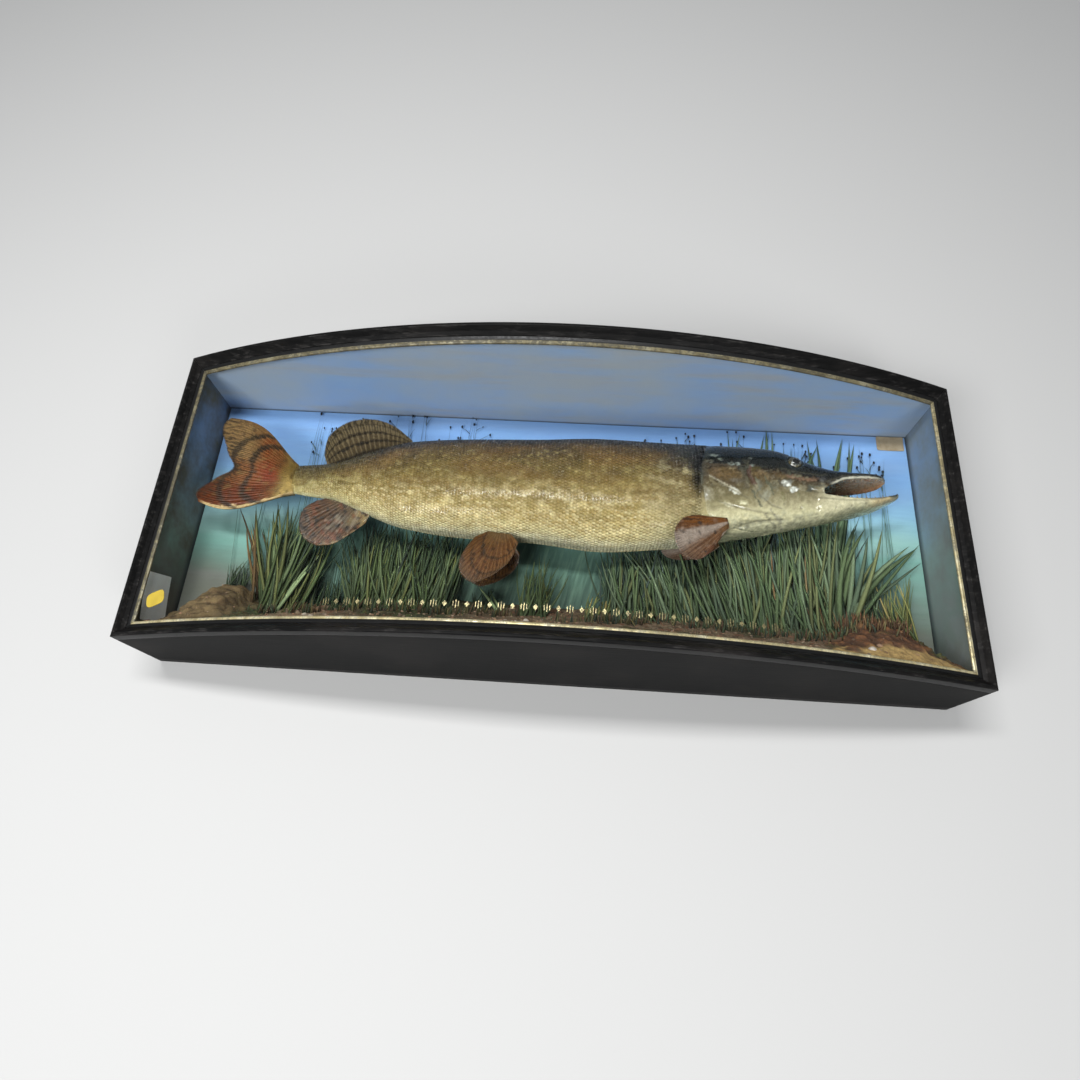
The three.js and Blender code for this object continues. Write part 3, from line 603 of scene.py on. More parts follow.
def body_points(x, turn, lift=0):
    """Points of the body's surface in millimetres: turn 0 is the back, 0.25 the near side, 0.5 the belly."""
    x, turn, lift = np.broadcast_arrays(np.asarray(x, float), turn, lift)
    back, belly, thick, square_back, square_belly = station(BODY, x.ravel()).T.reshape(5, *x.shape)
    up, out = np.cos(turn * 2 * np.pi), np.sin(turn * 2 * np.pi)
    power = 2 / np.where(up > 0, square_back, square_belly)
    y = (back + belly) / 2 + ((back - belly) / 2 + lift) * np.sign(up) * np.abs(up) ** power
    z = FISH_PLANE + (thick + lift) * np.sign(out) * np.abs(out) ** power
    return np.stack([x, y, z], -1)


def gill_edge(turn):
    """Where the gill cover ends, for turns round the body."""
    turn = np.asarray(turn, float) % 1
    return station(GILL_EDGE, np.where(turn > 0.5, 1 - turn, turn).ravel())[:, 0].reshape(turn.shape)


def steps_along(line):
    """How far along a line of points each one lies."""
    return np.concatenate([[0], np.cumsum(np.linalg.norm(np.diff(line, axis=0), axis=1))])


def girth_steps(x, steps):
    """Turns round the body at x, and how far round its girth each one is."""
    turns = np.linspace(0, 1, steps)
    return turns, steps_along(body_points(np.full_like(turns, x), turns))


def even_turns(x, count):
    turns, far = girth_steps(x, 721)
    return np.interp(np.arange(count) / count * far[-1], far, turns)


def waves(seed, count, low, high, shape=(1, 1, 1)):
    """A smooth random field for arrays of points: a sum of plane waves. shape stretches space."""
    draw = np.random.default_rng(seed)
    ways = unit(draw.normal(size=(count, 3)))
    pitch = np.exp(draw.uniform(math.log(low), math.log(high), count))
    ways = ways * (2 * np.pi / pitch)[:, None] / np.asarray(shape)
    shift = draw.uniform(0, 2 * np.pi, count)
    return lambda points: np.sin(points @ ways.T + shift).sum(1) / math.sqrt(count)


def laid(tone, *coats):
    """Colours laid over a tone in turn. Each coat is a share, held between 0 and 1, and a colour."""
    for share, colour in coats:
        tone = tone + np.clip(share, 0, 1)[:, None] * (np.asarray(colour) - tone)
    return tone


def graded(value, stops):
    """Colours read from stops of (place, colour), for an array of values."""
    places, colours = zip(*stops)
    return np.stack([np.interp(value, places, channel) for channel in zip(*colours)], 1)


def rows_of_spots(across, along, pitch, size, seed, chance=0.8):
    """Oblong spots in staggered rows. across and along are in millimetres; returns 0 to 1."""
    row = np.floor(across / pitch[1])
    best = np.zeros(len(across))
    for step in (-1, 0, 1):
        r = row + step
        shifted = along / pitch[0] + 0.5 * (r % 2)
        for jump in (0, 1):
            c = np.floor(shifted) + jump
            key = (r * 7919 + c * 104729 + seed * 31).astype(np.int64)
            draw = lambda n: ((np.sin(key * (12.9898 + n) + 78.233 * n) * 43758.5453) % 1)
            centre_along = (c - 0.5 * (r % 2) + (draw(1) - 0.5) * 0.5) * pitch[0]
            centre_across = (r + 0.5 + (draw(2) - 0.5) * 0.45) * pitch[1]
            scale = 0.7 + 0.6 * draw(3)
            far = np.hypot((along - centre_along) / size[0], (across - centre_across) / size[1]) / scale
            best = np.maximum(best, eased(far, 1.15, 0.75) * (draw(4) < chance))
    return best


# The last stop, darker at the very belly line, is painted shade on the underside.
FLANK = [  # share of the way from back to belly, and the ground colour there
    (0, (0.003, 0.004, 0.003)), (0.14, (0.004, 0.004, 0.003)), (0.21, (0.01, 0.007, 0.004)),
    (0.28, (0.036, 0.019, 0.005)), (0.38, (0.078, 0.047, 0.01)), (0.5, (0.155, 0.105, 0.025)),
    (0.61, (0.235, 0.165, 0.046)), (0.74, (0.41, 0.315, 0.125)), (0.85, (0.53, 0.455, 0.24)),
    (0.93, (0.51, 0.465, 0.3)), (1, (0.36, 0.34, 0.23)),
]
cloud_big = waves(11, 40, 45, 120, (2.4, 1, 1))
cloud_mid = waves(12, 48, 12, 30, (2.4, 1, 1))
cloud_fine = waves(13, 60, 4, 10, (1.6, 1, 1))
scallop_field = waves(14, 48, 9, 20, (1.5, 1, 1))
HEAD_GROUND = [  # share of the way from underside to top, and the ground colour there
    (0, (0.24, 0.23, 0.155)), (0.07, (0.4, 0.38, 0.25)), (0.16, (0.52, 0.475, 0.29)),
    (0.24, (0.375, 0.335, 0.205)), (0.34, (0.22, 0.19, 0.11)), (0.45, (0.135, 0.108, 0.056)),
    (0.56, (0.066, 0.046, 0.021)), (0.66, (0.026, 0.017, 0.009)), (0.74, (0.006, 0.007, 0.006)),
    (1, (0.003, 0.005, 0.006)),
]
# The lower edge of the dark back: x, and its height.
DARK_LINE = ([110, 186, 241, 292, 320, 345, 380, 410, 438], [74, 63, 63.5, 67, 62, 58, 66, 71, 72])


def head_ground(points, wobble):
    """The head's colour from underside to top, which the trunk takes on towards the gill cover."""
    x, y = points[:, 0], points[:, 1]
    body, upper, lower = station(BODY, x), station(UPPER_JAW, x), station(LOWER_JAW, x)
    top = np.where(x < JAW_ROOT_X, body[:, 0], upper[:, 1])
    base = np.where(x < JAW_ROOT_X, body[:, 1], lower[:, 1])
    dark_line = np.interp(x, *DARK_LINE)
    height = np.where(y > dark_line, 0.7 + 0.3 * (y - dark_line) / np.maximum(top - dark_line, 4),
                      0.7 * (y - base) / np.maximum(dark_line - base, 4))
    return graded(height + wobble, HEAD_GROUND), height, base, dark_line


def trunk_tone(points, turn):
    """The colours of the body: dark back, golden side with pale oblong spots, and a cream belly."""
    level, x = level_of(turn), points[:, 0]
    big, mid, fine = cloud_big(points), cloud_mid(points), cloud_fine(points)
    girth = level * 230
    spots = rows_of_spots(girth + 3 * mid, x, (14, 9), (4.4, 1.7), 5, 0.7)
    ring = rows_of_spots(girth + 2 * mid, x + 2 * fine, (12.5, 10), (6, 4), 9, 0.85)
    core = rows_of_spots(girth + 2 * mid - 1.6, x + 2 * fine + 2.2, (12.5, 10), (4.9, 3), 9, 0.85)
    scallops = scallop_field(points)
    amber = between(level, 0.24, 0.34, 0.5, 0.66)
    lower = between(level, 0.5, 0.62, 0.84, 0.93)
    low = between(level, 0.44, 0.62, 0.93, 1)
    stem = eased(x, -215, -300)
    tone = laid(
        graded(level + 0.022 * big + 0.016 * mid, FLANK),
        (0.42 * spots * between(level, 0.22, 0.38, 0.55, 0.7), (0.4, 0.32, 0.13)),
        (0.4 * amber * eased(cloud_big(points * 1.9), -0.2, 1.2), (0.165, 0.085, 0.018)),
        (0.5 * lower * np.clip(ring - core, 0, 1), (0.74, 0.62, 0.34)),
        (0.35 * lower * core, (0.32, 0.205, 0.055)),
        (0.38 * low * eased(scallops, 0.1, 1.2), (0.68, 0.56, 0.29)),
        (0.32 * low * eased(-scallops, 0.2, 1.3), (0.25, 0.17, 0.055)),
        (0.45 * stem * eased(level, 0.35, 0.55) * eased(scallops, -0.1, 0.9), (0.42, 0.34, 0.14)),
        (0.45 * stem * eased(level, 0.55, 0.3), (0.11, 0.082, 0.024)),
    )
    tone = tone * (1 - stem[:, None] * (0.14, 0.12, 0.2))
    near = eased(x + 10 * mid, 105, 185)
    golden = near * between(level, 0.42, 0.52, 0.74, 0.88) * eased(x, 200, 175)
    mottle = near * between(level, 0.34, 0.46, 0.8, 0.92)
    tone = laid(
        tone,
        (near, head_ground(points, 0.03 * mid + 0.02 * fine)[0]),
        (0.5 * golden, (0.24, 0.165, 0.055)),
        (0.6 * mottle * eased(mid + 0.7 * fine, 0.1, 1.3), (0.5, 0.44, 0.27)),
        (0.4 * mottle * eased(-mid + 0.7 * fine, 0.3, 1.5), (0.16, 0.14, 0.08)),
    )
    return tone * (1 - mottle[:, None] * (0.08, 0.12, 0.24)) * (1 + 0.07 * mid + 0.06 * fine)[:, None]


def gill_flap(turn):
    """How far the gill cover stands proud as a flap: 1 across the cheek, 0 at the back and the throat."""
    return bell(level_of(turn) - 0.36, 0.14)


def trunk_grid(rows=330, columns=176):
    """Places on the trunk from the root of the tail to under the gill covers: x, turn and lift."""
    marks = np.array([-352, -300, -240, -180, -100, 0, 100, 180, 240])
    turns = np.stack([even_turns(x, columns) for x in marks])
    start = TAIL_ROOT_X - 1.5
    x, turn = [], []
    for share in np.linspace(0, 1, rows):
        along = start + share * (215 - start)
        here = np.array([np.interp(along, marks, turns[:, k]) for k in range(columns)])
        turn.append(here)
        x.append(start + share * (gill_edge(here) + 16 - start))
    x, turn = np.stack(x), np.stack(turn)
    behind, flap = gill_edge(turn) - x, gill_flap(turn)
    under = 2.6 * eased(-behind - 4 * (1 - flap), 0, 9)
    return x, turn, -COAT - 1.2 * flap * bell(behind - 1, 5) - under


# The jaws: x, half width, outer height, height of the lips, depth between them, roundness.
UPPER_JAW = np.array([
    [345, 32.5, 89, 46, 14, 0.66], [363, 29.5, 84.5, 57, 11, 0.7], [380, 28, 82, 65, 8, 0.75],
    [403, 26.5, 81.5, 68, 6, 0.8], [420, 22.5, 82, 70, 5, 0.8], [431, 16, 81, 71.5, 4, 0.8],
    [436, 9, 79, 72.5, 2, 0.9], [438, 3, 77, 74, 0.6, 1],
])
LOWER_JAW = np.array([
    [345, 32.5, 10, 41, 14, 1.05], [378, 28.5, 20.5, 39.5, 10, 0.95], [402, 24.5, 28, 41.5, 8, 0.85],
    [422, 20, 35.5, 45.5, 6, 0.8], [436, 15, 42.5, 50.5, 4.5, 0.8], [447, 10, 48.5, 55.5, 3, 0.8],
    [452, 6, 52, 59, 1.2, 0.9], [454, 2.5, 54.5, 59, 0.4, 1],
])
LIP = 4  # width of a lip


def jaw_rings(table, start, steps, inset):
    """Rings of one jaw: rounded outside, a pair of lips, and the hollow between them."""
    rings = []
    for i in range(steps + 1):
        x = start + (table[-1, 0] - start) * math.sin(i / steps * math.pi / 2)
        wide, outer, rim, hollow, roundness = station(table, max(x, table[0, 0]))[0]
        lip = min(LIP, wide * 0.3)
        away = math.copysign(1, outer - rim)
        outer, wide = outer - away * inset, wide - inset

        def arc(count, radius, base, rise, power):
            angle = np.pi * np.arange(count + 1) / count
            across = np.sign(np.cos(angle)) * np.abs(np.cos(angle)) ** power
            return np.stack([radius * across, base + rise * np.sin(angle) ** power], 1)

        outside = arc(48, wide, rim + away * 1.2, outer - rim - away * 1.2, roundness)
        depth = min(hollow, abs(outer - rim) - 3)
        within = arc(30, wide - lip, rim + away * 0.4, away * depth, 0.9)[::-1]
        side = wide - lip * 0.45
        section = np.vstack([outside, [(-side, rim)], within, [(side, rim)]])
        rings.append(np.stack([np.full(len(section), x), section[:, 1], FISH_PLANE + section[:, 0]], 1))
    return rings


def gill_lift(x, turn):
    """How far the gill cover stands over the body's outline: proud as a flap, let in elsewhere."""
    far, flap = x - gill_edge(turn), gill_flap(turn)
    return flap * eased(far, 60, 8) - 1.2 * (1 - flap) ** 2 * eased(far, 14, 2)


def head_rings(columns=160, rows=90):
    turn = even_turns(260, columns)
    edge = gill_edge(turn)
    rings = [body_points(edge, turn, -COAT)]
    for s in np.linspace(0, 1, rows):
        x = edge + s * (JAW_ROOT_X + 3 - edge)
        rings.append(body_points(x, turn, gill_lift(x, turn) - 0.15))
    return np.array(rings)


def hidden_mesh(name, points, faces):
    mesh = bpy.data.meshes.new(name)
    mesh.from_pydata((np.asarray(points) * MM).tolist(), [], faces)
    return linked(name, mesh)


def fanned(rings):
    """A closed skin over rings, each end closed by a fan from its middle."""
    points, faces = capped_loft(rings)
    rows, columns = np.asarray(rings).shape[:2]
    points = np.vstack([points, points[:columns].mean(0), points[-columns:].mean(0)])
    for hub, cap in zip((rows * columns, rows * columns + 1), faces[-2:]):
        faces.extend((hub, cap[i], cap[(i + 1) % columns]) for i in range(columns))
    return points, [face for face in faces if len(face) < columns]


def settled(made, *changes):
    """The mesh of an object with modifiers applied. The object is then removed."""
    for kind, settings in changes:
        modifier = made.modifiers.new(kind, kind)
        for key, value in settings.items():
            setattr(modifier, key, value)
    bpy.context.view_layer.update()
    mesh = bpy.data.meshes.new_from_object(made.evaluated_get(bpy.context.evaluated_depsgraph_get()))
    old = made.data
    bpy.data.objects.remove(made)
    bpy.data.meshes.remove(old)
    return mesh


EYE = np.array([312, 82.5, 29])  # centre of the near eye; the last is out from the middle plane
EYE_RADIUS = np.array([10, 9, 8])
THROAT = (np.array([351, 43, FISH_PLANE]), np.array([46, 15, 25]))  # centre and radii of its hollow


def ball(name, centre, radii, lean=0):
    """A hidden ellipsoid to cut with."""
    shaper = bmesh.new()
    bmesh.ops.create_uvsphere(shaper, u_segments=64, v_segments=40, radius=1)
    mesh = bpy.data.meshes.new(name)
    shaper.to_mesh(mesh)
    shaper.free()
    made = linked(name, mesh)
    size = Matrix.Diagonal((*(np.asarray(radii) * MM), 1))
    made.matrix_world = Matrix.Translation(Vector(centre) * MM) @ Matrix.Rotation(lean, 4, "Z") @ size
    return made


def head_mesh():
    """Head and jaws made one: the lofts overlap, and are then taken together at an even fine grain."""
    head = hidden_mesh("head_block", *fanned(head_rings()))
    cutters = [ball("throat_block", *THROAT, lean=-0.05)]
    for side in (1, -1):
        cutters.append(ball("socket_block", (EYE[0], EYE[1], FISH_PLANE + side * EYE[2]), EYE_RADIUS + 0.25))
    cuts = [("BOOLEAN", {"operation": "DIFFERENCE", "object": cutter}) for cutter in cutters]
    blocks = [settled(head, *cuts)]
    for cutter in cutters:
        bpy.data.objects.remove(cutter)
    for table in (UPPER_JAW, LOWER_JAW):
        blocks.append(settled(hidden_mesh("jaw_block", *fanned(jaw_rings(table, JAW_ROOT_X - 5, 60, 0.15)))))
    shaper = bmesh.new()
    for block in blocks:
        shaper.from_mesh(block)
        bpy.data.meshes.remove(block)
    together = bpy.data.meshes.new("head_block")
    shaper.to_mesh(together)
    shaper.free()
    return settled(
        linked("head_block", together),
        ("REMESH", {"mode": "VOXEL", "voxel_size": 0.0012, "adaptivity": 0}),
        ("SMOOTH", {"factor": 0.5, "iterations": 6}),
    )


def line_distance(flat, line):
    """Distance of flat points from a broken line, and how far along it each one is, from 0 to 1."""
    line = np.asarray(line, float)
    best, share = np.full(len(flat), 1e9), np.zeros(len(flat))
    before = steps_along(line)
    for i, length in enumerate(np.linalg.norm(np.diff(line, axis=0), axis=1)):
        step = (line[i + 1] - line[i]) / length
        along = np.clip((flat - line[i]) @ step, 0, length)
        far = np.linalg.norm(flat - line[i] - along[:, None] * step, axis=1)
        nearer = far < best
        best = np.where(nearer, far, best)
        share = np.where(nearer, (before[i] + along) / before[-1], share)
    return best, share


def spot(flat, x, y, long, high, lean=0):
    """A soft-edged oval mark, 1 inside and 0 outside."""
    c, s = math.cos(math.radians(lean)), math.sin(math.radians(lean))
    dx, dy = flat[:, 0] - x, flat[:, 1] - y
    return eased(np.hypot((dx * c + dy * s) / long, (dy * c - dx * s) / high), 1.35, 0.65)


def crease(flat, line, wide, taper=(0.1, 0.1)):
    """A groove along a line, that fades out over a share of its length at each end."""
    far, share = line_distance(flat, line)
    return bell(far, wide) * eased(share, 0, taper[0]) * eased(share, 1, 1 - taper[1])


def dot(flat, centre, wide):
    return np.exp(-(((flat - centre) ** 2).sum(1)) / wide**2)


# Lines of the head's bones and folds, seen from the side, in millimetres.
PREOPERCLE = [(253, 86), (249, 72), (250, 58), (255, 43), (264, 29), (279, 19), (300, 15)]
SUTURE = [(194, 51), (206, 45), (222, 36), (238, 28), (252, 22)]
SUBOPERCLE = [(206, 18), (222, 13), (244, 10), (268, 9), (292, 9)]
MAXILLA = [(322, 51), (334, 53), (347, 56), (360, 62), (374, 68.5), (392, 72), (415, 73.5), (430, 74.5)]
SUBORBITAL = [(292, 72), (303, 68), (316, 67), (330, 67), (344, 66), (356, 70)]
MOUTH_CORNER = [(349, 43.5), (338, 43), (326, 45), (318, 49)]
JAW_GROOVE = [(330, 33), (352, 34), (378, 34.5), (400, 37), (420, 42), (436, 48)]
PORES = [(296, 22), (318, 20), (341, 21), (363, 24.5), (384, 29), (403, 34), (420, 39.5)]
NOSTRILS = [(344, 17), (352, 15.5)]
FOLDS = [[(300 - 8 * k, 6 - 1.2 * k), (270 - 7 * k, -2.2 * k), (236 - 2 * k, -4 - 2.6 * k)] for k in range(5)]


def turn_at(points):
    """The turn round the body of points on or near its surface."""
    back, belly, thick = station(BODY, points[:, 0])[:, :3].T
    up = (points[:, 1] - (back + belly) / 2) / ((back - belly) / 2)
    return (np.arctan2((points[:, 2] - FISH_PLANE) / thick, up) / (2 * np.pi)) % 1


def gill_rim(points):
    """1 along the free edge of the gill cover, 0 away from it."""
    turn = turn_at(points)
    return gill_flap(turn) * eased(points[:, 0] - gill_edge(turn), 6, 1)


def mouth_share(points, normals):
    """1 inside the mouth and throat, 0 outside, with a soft line along the lips."""
    x, y, z = points.T
    side = np.abs(z - FISH_PLANE)
    centre, radii = THROAT
    deep = eased(np.linalg.norm((points - centre) / radii, axis=1), 1.12, 1)
    share = deep * eased(x, 300, 312) * ((normals * (centre - points)).sum(1) > 0) * (x < 352)
    for table, way in ((UPPER_JAW, -1), (LOWER_JAW, 1)):
        wide, outer, rim = station(table, x)[:, :3].T
        lip = np.minimum(LIP, wide * 0.3)
        within = eased(side, wide - lip * 0.2, wide - lip * 0.75) * eased(normals[:, 1] * way, -0.25, 0.25)
        beyond = (y - rim) * np.sign(outer - rim)
        reach = (beyond > -2) & (beyond < np.abs(outer - rim) * 0.85 + 2)
        share = np.maximum(share, within * reach * (x > 343))
    return np.clip(share, 0, 1)


def head_form(points, normals):
    """The bones, folds, pores and nostrils that the skin shows: how far each point moves out."""
    flat, side = points[:, :2], np.abs(points[:, 2] - FISH_PLANE)
    lateral = eased(np.abs(normals[:, 2]), 0.25, 0.6)
    above = eased(normals[:, 1], 0.35, 0.75)
    below = eased(-normals[:, 1], 0.25, 0.7)
    outside = 1 - mouth_share(points, normals)
    move = lateral * (
        0.2 * crease(flat, np.array(PREOPERCLE) + (3.6, 0.6), 2.2) - 0.6 * crease(flat, PREOPERCLE, 1.7)
        - 0.75 * crease(flat, SUTURE, 1.5) - 0.8 * crease(flat, SUBOPERCLE, 1.6)
    )
    move -= outside * (0.8 * crease(flat, MAXILLA, 1.4, (0.04, 0.05)) + lateral * (
        0.6 * crease(flat, SUBORBITAL, 1.5) + 0.55 * crease(flat, JAW_GROOVE, 1.6)
        + 2.2 * crease(flat, MOUTH_CORNER, 1.8, (0.01, 0.5))
    ))
    for line in FOLDS:
        move -= (below + 0.6 * lateral) * 0.5 * crease(flat, line, 1.3)
    for pore in PORES:
        move -= outside * 0.9 * dot(flat, pore, 1.1) * np.maximum(lateral, below)
    for x, out in NOSTRILS:
        far = np.hypot(points[:, 0] - x, side - out)
        move -= above * (1.9 * bell(far, 1.5) - 0.5 * bell(far - 3, 0.9))
    crown = above * between(points[:, 0], 292, 312, 410, 428)
    move -= crown * (bell(side, 4.5) - 0.5 * bell(side - 10, 3))
    ring = np.hypot(points[:, 0] - EYE[0], (points[:, 1] - EYE[1]) * 1.1)
    brow = np.where(points[:, 1] > EYE[1], 1, 0.45)
    move += 0.85 * bell(ring - 11.6, 1.5) * brow * eased(side, 18, 24) * outside
    move -= 0.7 * gill_rim(points) * outside
    wrinkle, pucker, ridge = waves(21, 40, 5, 11), waves(22, 40, 3, 6, (2.4, 1, 1)), waves(23, 40, 3.5, 7)
    move += outside * 0.05 * wrinkle(points) + 0.04 * pucker(points) * below
    return move + (1 - outside) * 0.22 * ridge(points)


SPOTS = [  # x, y, half length, half height, lean, colour, strength
    (207, 82.5, 5.5, 2.2, 0, (0.17, 0.19, 0.165), 0.75), (213, 76, 4.5, 2.4, 5, (0.18, 0.2, 0.17), 0.75),
    (200, 72, 4, 2.4, -10, (0.15, 0.16, 0.13), 0.7), (227, 69.5, 5.5, 2.2, 5, (0.23, 0.26, 0.23), 0.75),
    (236, 71.5, 3, 2.2, 0, (0.36, 0.39, 0.35), 0.8), (252, 69, 6, 1.8, 20, (0.22, 0.25, 0.22), 0.7),
    (252, 82, 3, 1.8, 20, (0.16, 0.18, 0.17), 0.5), (196, 82, 4, 2.2, 0, (0.12, 0.13, 0.11), 0.5),
    (218, 50, 26, 14, -8, (0.125, 0.085, 0.04), 0.85),
    (220, 55, 19, 8.5, 0, (0.225, 0.14, 0.052), 0.85), (228, 63.5, 6, 2, -5, (0.46, 0.36, 0.2), 0.6),
    (207, 57, 5, 6, 20, (0.26, 0.17, 0.1), 0.5), (233, 46, 9, 3, 0, (0.3, 0.26, 0.2), 0.7),
    (231, 31.5, 7.5, 3.4, -28, (0.7, 0.7, 0.62), 0.8), (216, 38.5, 6, 1.8, -30, (0.5, 0.45, 0.32), 0.6),
    (247, 42, 3, 4, 0, (0.46, 0.41, 0.28), 0.6), (242, 17.5, 7, 2.6, -8, (0.66, 0.62, 0.42), 0.7),
    (222, 13, 9, 2.6, -8, (0.68, 0.64, 0.46), 0.6), (200, 24, 5, 9, 10, (0.55, 0.5, 0.34), 0.5),
    (268, 61, 7.5, 3, -15, (0.45, 0.33, 0.22), 0.75), (279, 55, 4, 2.4, 10, (0.4, 0.34, 0.25), 0.6),
    (292, 58, 8, 2.6, -5, (0.36, 0.26, 0.13), 0.6), (258, 66, 9, 3, 10, (0.19, 0.14, 0.035), 0.6),
    (266, 57, 13, 7.5, -8, (0.26, 0.165, 0.062), 0.75), (288, 61, 10, 4, -5, (0.2, 0.12, 0.045), 0.6),
    (262, 43, 5, 7, 20, (0.3, 0.31, 0.25), 0.6), (282, 44, 6, 6, 0, (0.17, 0.18, 0.14), 0.55),
    # The two near-white spots at (297, 49) and (307, 42) are painted highlights.
    (271, 30, 6, 8, -30, (0.52, 0.51, 0.39), 0.7), (297, 49, 5.5, 4, -10, (0.8, 0.81, 0.75), 0.9),
    (307, 42, 6, 3.4, 0, (0.8, 0.82, 0.78), 0.9), (303, 52, 3.5, 2.6, 0, (0.44, 0.46, 0.42), 0.7),
    (293, 31, 2.6, 6.5, 5, (0.17, 0.155, 0.04), 0.75), (313, 35, 2, 4, 0, (0.2, 0.24, 0.09), 0.4),
    (320, 46, 5, 3, 20, (0.42, 0.36, 0.24), 0.6), (327, 56, 6, 3, 5, (0.19, 0.12, 0.07), 0.5),
    (329, 45, 5, 4.5, 40, (0.1, 0.11, 0.09), 0.75), (353, 47.5, 8.5, 3.6, 0, (0.45, 0.45, 0.36), 0.8),
    (345, 58, 3, 3, 0, (0.3, 0.3, 0.28), 0.6), (335, 60, 10, 2.2, 10, (0.15, 0.085, 0.055), 0.7),
]
STROKES = [  # line, half width, colour, strength
    # The first stroke is partly the gill cover's own dark edge and partly painted shade of the gap behind it.
    ([(203, 102), (196, 90), (190, 68), (186, 50), (186, 40)], 5, (0.02, 0.022, 0.016), 0.9),
    ([(187, 44), (187, 34), (191, 22)], 3.2, (0.1, 0.1, 0.065), 0.45),
    ([(252, 68), (250, 60), (252, 52), (255, 45)], 2.4, (0.08, 0.032, 0.024), 0.8),
    ([(246, 76), (247, 66), (244, 58)], 3, (0.035, 0.034, 0.022), 0.75),
    ([(199, 49), (215, 41), (238, 28)], 1.3, (0.42, 0.37, 0.25), 0.6),
    ([(196, 66), (215, 67), (238, 66)], 2, (0.07, 0.05, 0.03), 0.6),
    ([(194, 52), (192, 62), (196, 72)], 3, (0.05, 0.04, 0.026), 0.7),
    ([(242, 60), (243, 50), (247, 38)], 3, (0.07, 0.058, 0.036), 0.7),
    ([(200, 44.5), (214, 34), (226, 25)], 2.2, (0.135, 0.11, 0.055), 0.6),
    ([(252, 35), (258, 25), (266, 15)], 0.9, (0.06, 0.065, 0.045), 0.8),
    ([(271, 56), (275, 45), (281, 33)], 2, (0.085, 0.09, 0.06), 0.7),
    ([(258, 52), (262, 38), (256, 30)], 1.6, (0.15, 0.16, 0.12), 0.5),
    ([(287, 52), (291, 46), (297, 44)], 1.6, (0.06, 0.06, 0.05), 0.6),
    ([(300, 60), (318, 57), (336, 58)], 2.2, (0.2, 0.115, 0.07), 0.6),
    ([(323, 40), (333, 46), (345, 52)], 1.8, (0.07, 0.075, 0.06), 0.6),
    ([(277, 14), (282, 10), (293, 3), (299, -3)], 1.3, (0.24, 0.22, 0.17), 0.6),
    ([(273, 9), (280, 2), (290, -4)], 1.1, (0.15, 0.14, 0.1), 0.6),
]
PALATE = [  # x, and the colour of the roof of the mouth there
    (310, (0.03, 0.017, 0.013)), (350, (0.06, 0.034, 0.024)), (385, (0.12, 0.07, 0.048)),
    (415, (0.23, 0.14, 0.098)), (436, (0.3, 0.19, 0.13)),
]


